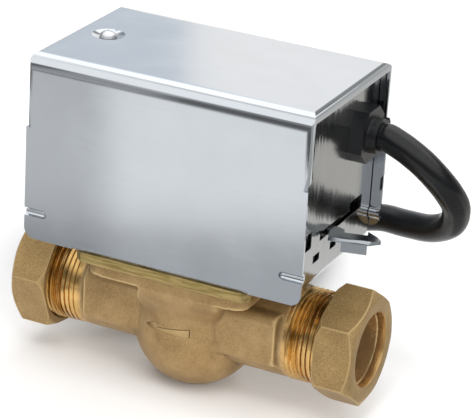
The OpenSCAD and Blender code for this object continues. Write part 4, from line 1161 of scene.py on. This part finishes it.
@dataclass
class ValveBody:
    """Brass casting: bowl, flat-sided necks and top flange, with a sunk flow arrow."""

    half_length: float = 34.4
    voxel: float = 0.5
    bowl_r: float = 19.5
    flange_half: float = 25.45
    arrow_depth: float = 0.6
    # Outline of the arrow: place along the pipe, lower and upper edge.
    arrow: tuple[Point, ...] = (
        (-9.0, -1.3, -1.15), (-5.8, -1.8, 0.65), (-4.7, -2.0, -0.75), (6.3, -2.0, 0.8),
    )
    # Strip inside the arrow's upper and tail edges that is painted dark as painted shade, and where that
    # painted shade has faded.
    shade: float = 0.5
    shade_end: float = 0.68

    def build(self) -> None:
        """Softens the CAD body into a casting with rounded corners, and sinks the arrow into it."""
        casting = cad_copy("valve_body", "body_casting", 28.0)
        tools = [self.limit_box(), self.flange_sweep(-1), self.flange_sweep(1)]
        carve(casting, *zip(("INTERSECT", "UNION", "UNION"), tools))
        remesh = casting.modifiers.new("grain", "REMESH")
        remesh.mode = "VOXEL"
        remesh.voxel_size = self.voxel * MM
        soften = casting.modifiers.new("soften", "SMOOTH")
        soften.factor = 0.5
        soften.iterations = 2
        settle(casting)
        tools.append(self.arrow_cutter())
        carve(casting, ("DIFFERENCE", tools[-1]))
        settle(casting)
        for tool in tools:
            bpy.data.objects.remove(tool)
        self.mark_edges(smooth(casting, 50).data)
        lay_piece(casting, CAST_BRASS, HOUSING, "cast_brass", "valve_body")

    @staticmethod
    def skin_bend(mesh: Mesh, points: np.ndarray) -> np.ndarray:
        """How sharply the skin bends at each point, a little blurred.

        Args:
            mesh: the casting's mesh.
            points: its points in metres.

        Returns:
            Bends per metre: above zero on ridges, below zero in hollows.
        """
        least_run, blurs = 0.2 * MM, 3
        count = len(points)
        normals = np.empty(count * 3)
        ends = np.empty(len(mesh.edges) * 2, dtype=np.int32)
        mesh.vertices.foreach_get("normal", normals)
        mesh.edges.foreach_get("vertices", ends)
        normals = normals.reshape(-1, 3)
        near = np.maximum(np.bincount(ends, minlength=count), 1)
        a, b = ends.reshape(-1, 2).T
        run = points[b] - points[a]
        short = np.maximum((run**2).sum(1), least_run**2)
        bend = np.zeros(count)
        np.add.at(bend, a, -2 * (normals[a] * run).sum(1) / short)
        np.add.at(bend, b, 2 * (normals[b] * run).sum(1) / short)
        bend /= near
        for _ in range(blurs):
            around = np.zeros(count)
            np.add.at(around, a, bend[b])
            np.add.at(around, b, bend[a])
            bend = 0.5 * bend + 0.5 * around / near
        return bend

    def mark_edges(self, mesh: Mesh) -> None:
        """Writes where the casting is rubbed bright and where it stays brown, from how its skin bends, and
        paints the arrow's floor pale as painted light and the strip under its upper and tail edges dark as
        painted shade.

        Args:
            mesh: the finished casting's mesh.
        """
        # Bend where each starts, how much more bend makes it full, and its limit.
        rub_from, rub_span, rub_most = 160, 700, 0.6
        dirt_from, dirt_span, dirt_most = 120, 500, 0.7
        points = np.empty(len(mesh.vertices) * 3)
        mesh.vertices.foreach_get("co", points)
        points = points.reshape(-1, 3)
        bend = self.skin_bend(mesh, points)
        wear_and_light = np.clip((bend - rub_from) / rub_span, 0, rub_most)
        grime_and_shade = np.clip((-bend - dirt_from) / dirt_span, 0, dirt_most)
        x, y, z = (points / MM).T
        out = np.hypot(x, y)
        places, lows, highs = zip(*self.arrow)
        top, tail = np.interp(x, places, highs), places[-1]
        around = (y < 0) & (out < self.bowl_r + 0.6) & (z > min(lows) - 0.6) & (z < top + 0.4)
        around &= (x > places[0] - 0.4) & (x < tail + 0.4)
        floor = around & (out < self.bowl_r - 0.4)
        shaded = floor & ((z > top - self.shade - 0.05) | (x > tail - self.shade - 0.05))
        # Around the arrow the marks are set anew: its floor painted pale as painted light, the strip under
        # its upper and tail edges painted dark as painted shade.
        for region, rub_and_light, dirt_and_shade in ((around, 0.1, 0.0), (floor, 0.45, 0.0), (shaded, 0.0, 0.8)):
            wear_and_light[region] = rub_and_light
            grime_and_shade[region] = dirt_and_shade
        for name, values in (("wear_and_light", wear_and_light), ("grime_and_shade", grime_and_shade)):
            layer = mesh.attributes.new(name, "FLOAT", "POINT")
            layer.data.foreach_set("value", values.astype(np.float32))

    def limit_box(self) -> Object:
        """Makes the box that cuts the spigots off the casting.

        Returns:
            The box.
        """
        wide = 40
        square = ((-wide, -wide), (wide, -wide), (wide, wide), (-wide, wide))
        rings = [[(x, y, z) for y, z in square] for x in (-self.half_length, self.half_length)]
        return mesh_piece("casting_limit", *loft(rings))

    def flange_sweep(self, side: int) -> Object:
        """Makes the cast web that carries the bowl's wall up flush with the flange.

        Args:
            side: -1 for the front, 1 for the back.

        Returns:
            The web, to be joined to the casting.
        """
        # Bearings from the bowl's axis in degrees: left corner at the foot and at the flange, right fade.
        low_corner, high_corner, fade_start, fade_end = -34.0, -17.4, 32.0, 52.0
        foot, head, top, levels = 1.5, 14.4, 17.5, 24
        inner, wall = self.bowl_r - 1.0, self.bowl_r - 0.3
        bearings = range(-46, 53)

        def ease(t: float) -> float:
            """Smooth step from 0 to 1."""
            t = min(max(t, 0.0), 1.0)
            return t * t * (3 - 2 * t)

        def spot(r: float, bearing: float, z: float) -> Point:
            """Point at a radius, a bearing in degrees and a height."""
            a = math.radians(bearing)
            return r * math.sin(a), side * r * math.cos(a), z

        rings = []
        for i in range(levels + 1):
            z = foot + (top - foot) * i / levels
            rise = ease((z - foot) / (head - foot))
            corner = low_corner + (high_corner - low_corner) * rise
            ring = []
            for a in bearings:
                grow = ease((a - corner) / (1.0 + 7.0 * rise) + 1.0)
                fade = ease((fade_end - a) / (fade_end - fade_start))
                flush = self.flange_half / math.cos(math.radians(a))
                ring.append(spot(wall + rise * min(grow, fade) * (flush - wall), a, z))
            rings.append(ring + [spot(inner, a, z) for a in reversed(bearings)])
        return mesh_piece(f"flange_sweep_{side}", *loft(rings))

    def arrow_cutter(self) -> Object:
        """Makes the shape that sinks the flow arrow into the front of the bowl.

        Returns:
            The cutting piece, with a sloped sill and a strip under its upper edge that gets painted shade.
        """
        reach, steps = self.arrow_depth + 2, 20
        places, lows, highs = zip(*self.arrow)
        tail = places[-1]
        shaft = np.linspace(places[-2], tail - 1.0, steps)[1:]
        rings = []
        for x in (*places[:-1], *shaft, tail - self.shade_end, tail - self.shade, tail):
            low, high = np.interp(x, places, lows), np.interp(x, places, highs)
            floor_y = self.arrow_depth - math.sqrt(self.bowl_r**2 - x * x)
            tall = high - low
            sill = min(0.25, tall / 4)
            section = (
                (floor_y - reach, low + sill - 2 * sill * reach / self.arrow_depth),
                (floor_y - reach, high),
                (floor_y, high),
                (floor_y, high - min(self.shade, tall * 0.4)),
                (floor_y, high - min(self.shade_end, tall * 0.5)),
                (floor_y, low + sill),
            )
            rings.append([(x, y, z) for y, z in section])
        return mesh_piece("arrow_cutter", *loft(rings))


@dataclass
class ActuatorHead:
    """Folded cover, end plates, bonnet plate, lever, gland and cover screw."""

    screw_at: Point = (-34.6, 0.0, 78.7)
    # The screw from the top of its dome down to its shank's end: radius and height.
    screw: tuple[tuple[float, float], ...] = (
        (0.0, 2.15), (0.7, 2.11), (1.3, 1.97), (1.8, 1.75),
        (2.2, 1.45), (2.5, 1.05), (2.65, 0.6), (2.66, 0.35),
        (1.95, 0.35), (1.95, -8.0), (0.0, -8.0),
    )
    slot_half_l: float = 1.6
    slot_half_w: float = 0.22
    slot_floor: float = 1.8
    # The lever's front edge, which is folded: its least length, its bearing and the fold's width.
    fold_l: float = 8.0
    fold_deg: float = 13.8
    fold_w: float = 1.0

    def build_cover(self) -> None:
        """Smooths the cover's folds and breaks its cut edges."""
        cover = cad_copy("cover", "folded_cover")
        self.crease_mitres(cover.data)
        lay_piece(settle(rounded(cover, 0.18)), COVER_ZINC, HOUSING, "zinc_sheet", "cover")

    @staticmethod
    def crease_mitres(mesh: Mesh) -> None:
        """Keeps the line crisp where a long bend meets an end bend, all the way up to the flat top.

        Args:
            mesh: the cover's mesh.
        """
        plain, leaning = 0.01, 0.02
        shape = bmesh.new()
        shape.from_mesh(mesh)
        for edge in shape.edges:
            if len(edge.link_faces) == 2:
                a, b = (face.normal for face in edge.link_faces)
                across = sorted((abs(a.x), abs(b.x)))
                along = sorted((abs(a.y), abs(b.y)))
                if max(across[0], along[0]) < plain and min(across[1], along[1]) > leaning:
                    edge.smooth = False
        shape.to_mesh(mesh)
        shape.free()

    @staticmethod
    def build_plain(node: str, name: str, finish: Finish, slot: str, *edge: float) -> None:
        """Copies a CAD node of the housing and breaks its edges.

        Args:
            node: CAD node.
            name: name of the piece.
            finish: its finish.
            slot: material slot of the record.
            edge: width of the bevel in millimetres, then its steps and the least angle where they are given.
        """
        piece = settle(rounded(cad_copy(node, name), *edge))
        lay_piece(piece, finish, HOUSING, slot, node)

    def build_lever(self) -> None:
        """Rounds the lever's fold and breaks its stamped edges."""
        level_mm, off_deg = 0.02, 1.0
        lever = cad_copy("manual_lever", "lever_blade")
        mesh = lever.data
        weight = mesh.attributes.new("bevel_weight_edge", "FLOAT", "EDGE")
        top = max(v.co.z for v in mesh.vertices)
        for edge in mesh.edges:
            a, b = (mesh.vertices[i].co for i in edge.vertices)
            run = b - a
            on_top = min(a.z, b.z) > top - level_mm * MM and run.length > self.fold_l * MM
            bearing = math.degrees(math.atan(run.y / (run.x or 1e-9)))
            if on_top and abs(bearing - self.fold_deg) < off_deg:
                weight.data[edge.index].value = 1.0
        fold = lever.modifiers.new("fold", "BEVEL")
        fold.width = self.fold_w * MM
        fold.segments = 6
        fold.limit_method = "WEIGHT"
        rounded(lever, 0.3, 3, 40)
        lay_piece(settle(lever), LEVER_ZINC, "lever", "lever_steel", "manual_lever")

    def build_screw(self) -> None:
        """Makes the domed cover screw with its slot."""
        count, least_r, above = 64, 0.001, 3.0
        x0, y0, z0 = self.screw_at
        rings = []
        for radius, z in self.screw:
            r = max(radius, least_r)
            rings.append([(x0 + r * math.cos(a), y0 + r * math.sin(a), z0 + z) for a in full_turn(count)])
        screw = mesh_piece("cover_screw_head", *loft(rings), sharp_deg=50)
        u, v = self.slot_half_l, self.slot_half_w
        corners = ((-u, -v), (u, -v), (u, v), (-u, v))
        slot = [[(x0 + x, y0 + y, z0 + z) for x, y in corners] for z in (self.slot_floor, above)]
        blade = mesh_piece("slot_blade", *loft(slot))
        carve(screw, ("DIFFERENCE", blade))
        settle(screw)
        bpy.data.objects.remove(blade)
        lay_piece(smooth(screw, 30), SCREW_ZINC, HOUSING, "zinc_sheet", "cover_screw")

    def build(self) -> None:
        """Makes all pieces of the head's outside."""
        self.build_cover()
        self.build_plain("base_frame", "base_channel", PLATE_ZINC, "zinc_sheet", 0.15)
        self.build_plain("bonnet_plate", "bonnet_slab", YELLOW_ZINC, "yellow_zinc", 0.5, 3, 40)
        self.build_lever()
        self.build_plain("cable_gland", "strain_relief", NYLON, "black_nylon", 0.55, 3, 32)
        self.build_screw()


@dataclass
class Studio:
    """Pale floor, soft lamps, a room for mirrors to show and the photograph's camera."""

    floor_z: float = -24.5
    floor_half: float = 3000.0
    yaw: float = 24.72
    pitch: float = 23.07
    roll: float = 3.5
    focal_px: float = 2384.7
    width_px: float = 473.0
    sensor_mm: float = 36.0
    eye: Point = (282.23, -590.35, 310.92)
    ambient: float = 0.62
    # Painted reflection of the floor in front of the part, from the part outwards, and towards its far end.
    reflection_near: Stops = (
        (0.0, "#BDBEC0"), (0.2, "#BFC0C2"), (0.32, "#C6C7C8"), (0.41, "#D0D0D1"),
        (0.5, "#DDDDDD"), (0.6, "#EDEDED"), (0.75, "#F8F8F8"), (0.95, WHITE),
    )
    reflection_far: Stops = ((0.0, WHITE), (0.08, "#F4F4F4"), (0.25, "#D2D2D2"), (0.87, "#868686"))
    reflection_right: Stops = ((0.25, "#B2B1AF"), (0.4, "#F4F4F2"), (0.8, "#CFCDC8"))
    reflection_left: str = "#9A9A9A"
    # Room that mirrors show: in front by height, and behind by bearing.
    room_front: Stops = (
        (0.0, "#6C6C6C"), (0.1, "#616162"), (0.22, "#5C5C5D"), (0.28, "#666667"),
        (0.34, "#818181"), (0.41, "#AEAEAE"), (0.49, "#E4E4E4"), (0.58, WHITE),
    )
    room_back: Stops = (
        (0.0, "#6E7073"), (0.25, "#8E9398"), (0.35, "#D6DBE2"), (0.375, "#D6DBE2"),
        (0.378, "#FFFCFA"), (0.505, WHITE), (0.56, "#CBCAC6"), (0.8, "#77777A"),
    )
    # Its brightness: a dim strip behind by height, a window in front by height and bearing, dimmer sides.
    dim_strip: Stops = ((0.4, BLACK), (0.45, WHITE), (0.57, WHITE), (0.64, BLACK))
    window_height: Stops = ((0.0, "#B5B5B5"), (0.1, "#CCCCCC"), (0.2, "#D6D6D6"), (0.45, BLACK))
    window_width: Stops = ((0.44, BLACK), (0.5, WHITE), (0.7, WHITE), (0.8, BLACK))
    dim_sides: Stops = ((0.2, WHITE), (0.38, "#CFCFCF"), (0.52, "#CFCFCF"), (0.66, WHITE))

    def build_camera(self) -> None:
        """Sets the camera where the photograph was taken from."""
        yaw, pitch, roll = (math.radians(v) for v in (self.yaw, self.pitch, self.roll))
        back = Vector((math.sin(yaw) * math.cos(pitch), -math.cos(yaw) * math.cos(pitch), math.sin(pitch)))
        right = (-back).cross(Vector((0, 0, 1))).normalized()
        up = right.cross(-back)
        side = math.cos(roll) * right + math.sin(roll) * up
        top = -math.sin(roll) * right + math.cos(roll) * up
        lens = bpy.data.cameras.new("photo_camera")
        lens.sensor_width = self.sensor_mm
        lens.sensor_fit = "HORIZONTAL"
        lens.lens = self.focal_px / self.width_px * self.sensor_mm
        lens.clip_start = 0.01
        camera = bpy.data.objects.new("photo_camera", lens)
        turn = Matrix((side, top, back)).transposed().to_4x4()
        camera.matrix_world = Matrix.Translation(Vector(self.eye) * MM) @ turn
        bpy.context.scene.collection.objects.link(camera)
        bpy.context.scene.camera = camera

    @staticmethod
    def lay_sheet(name: str, along: tuple[float, float], back: tuple[float, float], z: float) -> Object:
        """Lays a level rectangle with a material of its own name.

        Args:
            name: name of the sheet.
            along: its ends along the pipe, in millimetres.
            back: its near and far edge, in millimetres.
            z: its height, in millimetres.

        Returns:
            The sheet.
        """
        (left, right), (near, far) = along, back
        corners = ((left, near), (right, near), (right, far), (left, far))
        sheet = mesh_piece(name, [(x, y, z) for x, y in corners], [(0, 1, 2, 3)])
        material = bpy.data.materials.new(name)
        material.use_nodes = True
        sheet.data.materials.append(material)
        return sheet

    def build_floor(self) -> None:
        """Lays the pale floor under the bowl."""
        ends = (-self.floor_half, self.floor_half)
        floor = self.lay_sheet("studio_floor", ends, ends, self.floor_z)
        material = floor.data.materials[0]
        material.name = "matt_white_floor"
        shader = material.node_tree.nodes["Principled BSDF"]
        shader.inputs["Base Color"].default_value = linear("#F4F4F4")
        shader.inputs["Roughness"].default_value = 0.9
        shader.inputs["Specular IOR Level"].default_value = 0.1

    def build_card(
        self, name: str, along: tuple[float, float], back: tuple[float, float]
    ) -> tuple[NodeTree, Node, Outputs]:
        """Lays a glowing card on the floor that only mirrors see, as a painted reflection.

        Args:
            name: name of the card.
            along: its ends along the pipe, in millimetres.
            back: its near and far edge, in millimetres.

        Returns:
            Its node tree, its glow and the parts of its place.
        """
        card = self.lay_sheet(name, along, back, self.floor_z + 1)
        tree = card.data.materials[0].node_tree
        glow = add_node(tree, "ShaderNodeEmission")
        tree.links.new(glow.outputs[0], tree.nodes["Material Output"].inputs["Surface"])
        tree.nodes.remove(tree.nodes["Principled BSDF"])
        for ray in ("camera", "diffuse", "transmission", "volume_scatter", "shadow"):
            setattr(card, f"visible_{ray}", False)
        place = add_node(tree, "ShaderNodeTexCoord").outputs["Object"]
        return tree, glow, add_node(tree, "ShaderNodeSeparateXYZ", {0: place}).outputs

    def build_cards(self) -> None:
        """Lays glowing cards that only the sheet metal mirrors, as a painted reflection of the floor: dimmer
        near the part, far away and to the left.
        """
        front, end = -95, 900
        tree, glow, spot = self.build_card("front_reflection_card", (-end, end), (-2500, front))
        slant = {0: spot["X"], 1: 0.5, 2: spot["Y"]}
        near = add_node(tree, "ShaderNodeMath", slant, operation="MULTIPLY_ADD").outputs[0]
        close = add_node(tree, "ShaderNodeMapRange", {"Value": near, "From Min": -0.13, "From Max": -0.23})
        under = add_node(tree, "ShaderNodeValToRGB", {"Fac": close.outputs[0]}, self.reflection_near)
        distance = {"Value": spot["Y"], "From Min": -0.25, "From Max": -1.25}
        ahead = add_node(tree, "ShaderNodeMapRange", distance).outputs[0]
        beyond = add_node(tree, "ShaderNodeValToRGB", {"Fac": ahead}, self.reflection_far)
        layers = {"Factor": 1.0, COLOUR_A: under.outputs["Color"], COLOUR_B: beyond.outputs["Color"]}
        both = add_node(tree, "ShaderNodeMix", layers, data_type="RGBA", blend_type="MULTIPLY")
        slant = {0: spot["Y"], 1: -0.555, 2: spot["X"]}
        skew = add_node(tree, "ShaderNodeMath", slant, operation="MULTIPLY_ADD").outputs[0]
        edge = {"Value": skew, "From Min": -0.0085, "From Max": 0.0115, "To Min": 0.66, "To Max": 1.0}
        left = add_node(tree, "ShaderNodeMapRange", edge, interpolation_type="SMOOTHSTEP")
        feed(tree, glow.inputs["Color"], both.outputs[COLOUR_OUT])
        feed(tree, glow.inputs["Strength"], left.outputs[0])
        tree, glow, spot = self.build_card("right_reflection_card", (62, end), (front, 1500))
        away = add_node(tree, "ShaderNodeMapRange", {"Value": spot["Y"], "From Min": 0.0, "From Max": 0.2})
        fade = add_node(tree, "ShaderNodeValToRGB", {"Fac": away.outputs[0]}, self.reflection_right)
        feed(tree, glow.inputs["Color"], fade.outputs["Color"])
        tree, glow, _ = self.build_card("left_reflection_card", (-end, -80), (front, 900))
        feed(tree, glow.inputs["Color"], linear(self.reflection_left))

    def room_colour(
        self, tree: NodeTree, toward: Outputs, slope: NodeSocket, behind: NodeSocket
    ) -> NodeSocket:
        """Adds the colours of the room that mirrors show, white overhead.

        Args:
            tree: the world's node tree.
            toward: the parts of the direction.
            slope: its X over its Y.
            behind: 0 in front of the part and 1 behind it.

        Returns:
            The colour.
        """
        front = add_node(tree, "ShaderNodeValToRGB", {"Fac": toward["Z"]}, self.room_front).outputs["Color"]
        turn = add_node(tree, "ShaderNodeMapRange", {"Value": slope, "From Min": -2.0, "From Max": 2.0})
        back = add_node(tree, "ShaderNodeValToRGB", {"Fac": turn.outputs[0]}, self.room_back).outputs["Color"]
        height = {"Value": toward["Z"], "From Min": 0.58, "From Max": 0.7}
        clear = add_node(tree, "ShaderNodeMapRange", height).outputs[0]
        overhead = {"Factor": clear, COLOUR_A: back, COLOUR_B: linear(WHITE)}
        above = add_node(tree, "ShaderNodeMix", overhead, data_type="RGBA").outputs[COLOUR_OUT]
        sides = {"Factor": behind, COLOUR_A: front, COLOUR_B: above}
        return add_node(tree, "ShaderNodeMix", sides, data_type="RGBA").outputs[COLOUR_OUT]

    def room_light(
        self, tree: NodeTree, toward: Outputs, slope: NodeSocket, behind: NodeSocket
    ) -> NodeSocket:
        """Adds how bright mirrors show the room: more overhead and in a window in front, less at the sides.

        Args:
            tree: the world's node tree.
            toward: the parts of the direction.
            slope: its X over its Y.
            behind: 0 in front of the part and 1 behind it.

        Returns:
            The strength.
        """
        rise = {"Value": toward["Z"], "From Min": 0.42, "From Max": 0.62, "To Min": 1.12, "To Max": 1.55}
        overhead = add_node(tree, "ShaderNodeMapRange", rise).outputs[0]
        strip = add_node(tree, "ShaderNodeValToRGB", {"Fac": toward["Z"]}, self.dim_strip).outputs["Color"]
        inward = add_node(tree, "ShaderNodeMapRange", {"Value": slope, "From Min": -0.4, "From Max": -0.25})
        share = add_node(tree, "ShaderNodeMath", {0: strip, 1: inward.outputs[0]}, operation="MULTIPLY")
        dimmed = {"Factor": share.outputs[0], NUMBER_A: overhead, NUMBER_B: 0.35}
        back = add_node(tree, "ShaderNodeMix", dimmed).outputs[0]
        low = add_node(tree, "ShaderNodeValToRGB", {"Fac": toward["Z"]}, self.window_height).outputs["Color"]
        wide = add_node(tree, "ShaderNodeValToRGB", {"Fac": slope}, self.window_width).outputs["Color"]
        gain = add_node(tree, "ShaderNodeMath", {0: low, 1: wide}, operation="MULTIPLY").outputs[0]
        front = add_node(tree, "ShaderNodeMapRange", {"Value": gain, "To Min": 1.15, "To Max": 4.8})
        sides = {"Factor": behind, NUMBER_A: front.outputs[0], NUMBER_B: back}
        level = add_node(tree, "ShaderNodeMix", sides).outputs[0]
        turning = {"Value": toward["Y"], "From Min": -0.25, "From Max": 0.25}
        turned = add_node(tree, "ShaderNodeMapRange", turning).outputs[0]
        seam = add_node(tree, "ShaderNodeValToRGB", {"Fac": turned}, self.dim_sides).outputs["Color"]
        return add_node(tree, "ShaderNodeMath", {0: level, 1: seam}, operation="MULTIPLY").outputs[0]

    def build_world(self) -> None:
        """Sets a white surround: even light for matt faces, and a dim-fronted room for mirrors to show."""
        world = bpy.data.worlds.new("white_studio")
        bpy.context.scene.world = world
        world.use_nodes = True
        tree = world.node_tree
        even = tree.nodes["Background"]
        even.inputs["Color"].default_value = linear(WHITE)
        even.inputs["Strength"].default_value = self.ambient
        place = add_node(tree, "ShaderNodeTexCoord").outputs["Generated"]
        toward = add_node(tree, "ShaderNodeSeparateXYZ", {0: place}).outputs
        ratio = {0: toward["X"], 1: toward["Y"]}
        slope = add_node(tree, "ShaderNodeMath", ratio, operation="DIVIDE").outputs[0]
        sides = {"Value": toward["Y"], "From Min": -0.15, "From Max": 0.15}
        behind = add_node(tree, "ShaderNodeMapRange", sides).outputs[0]
        room = {
            "Color": self.room_colour(tree, toward, slope, behind),
            "Strength": self.room_light(tree, toward, slope, behind),
        }
        mirror = add_node(tree, "ShaderNodeBackground", room)
        plain = add_node(tree, "ShaderNodeBackground", {"Color": linear(WHITE), "Strength": 1.0})
        rays = add_node(tree, "ShaderNodeLightPath").outputs
        lights = {0: rays["Is Glossy Ray"], 1: even.outputs[0], 2: mirror.outputs[0]}
        lit = add_node(tree, "ShaderNodeMixShader", lights)
        views = {0: rays["Is Camera Ray"], 1: lit.outputs[0], 2: plain.outputs[0]}
        seen = add_node(tree, "ShaderNodeMixShader", views)
        tree.links.new(seen.outputs[0], tree.nodes["World Output"].inputs["Surface"])

    @staticmethod
    def build_lamp(name: str, place: Point, aim: Point, size: float, watts: float) -> None:
        """Adds one soft box.

        Args:
            name: name of the lamp.
            place: its place in millimetres.
            aim: the point it faces, in millimetres.
            size: its width in millimetres.
            watts: its power.
        """
        lamp = bpy.data.lights.new(name, "AREA")
        lamp.shape = "DISK"
        lamp.size = size * MM
        lamp.energy = watts
        obj = bpy.data.objects.new(name, lamp)
        obj.visible_glossy = False
        obj.location = Vector(place) * MM
        obj.rotation_euler = (Vector(aim) - Vector(place)).to_track_quat("-Z", "Y").to_euler()
        bpy.context.scene.collection.objects.link(obj)

    def build(self) -> None:
        """Sets the whole studio."""
        self.build_camera()
        self.build_floor()
        self.build_cards()
        self.build_world()
        self.build_lamp("key_box", (80, -450, 1000), (0, 0, 30), 800, 6.6)
        self.build_lamp("fill_box", (650, -450, 350), (20, 0, 20), 600, 4.2)
        self.build_lamp("back_box", (100, 800, 700), (0, 0, 40), 800, 4.0)
        bpy.context.scene.view_settings.view_transform = "Standard"


def dress_nodes() -> None:
    """Gives every CAD node that still shows a finish by its material slot."""
    slots = {part["node"]: part["material_slot"] for part in frame["record"]["subparts"]}
    for name, node in frame["nodes"].items():
        if not node.hide_render:
            node.data.materials.clear()
            node.data.materials.append(SLOT_FINISH[slots[name]].build())


def main() -> None:
    """Builds the studio and every piece in order."""
    logging.basicConfig(level=logging.INFO, format="%(message)s")
    Studio().build()
    FlyingLead().build()
    ValveBody().build()
    CompressionPort(Side.RIGHT, 83.5).build()
    CompressionPort(Side.LEFT, 111.5).build()
    ActuatorHead().build()
    dress_nodes()


if __name__ == "__main__":
    main()
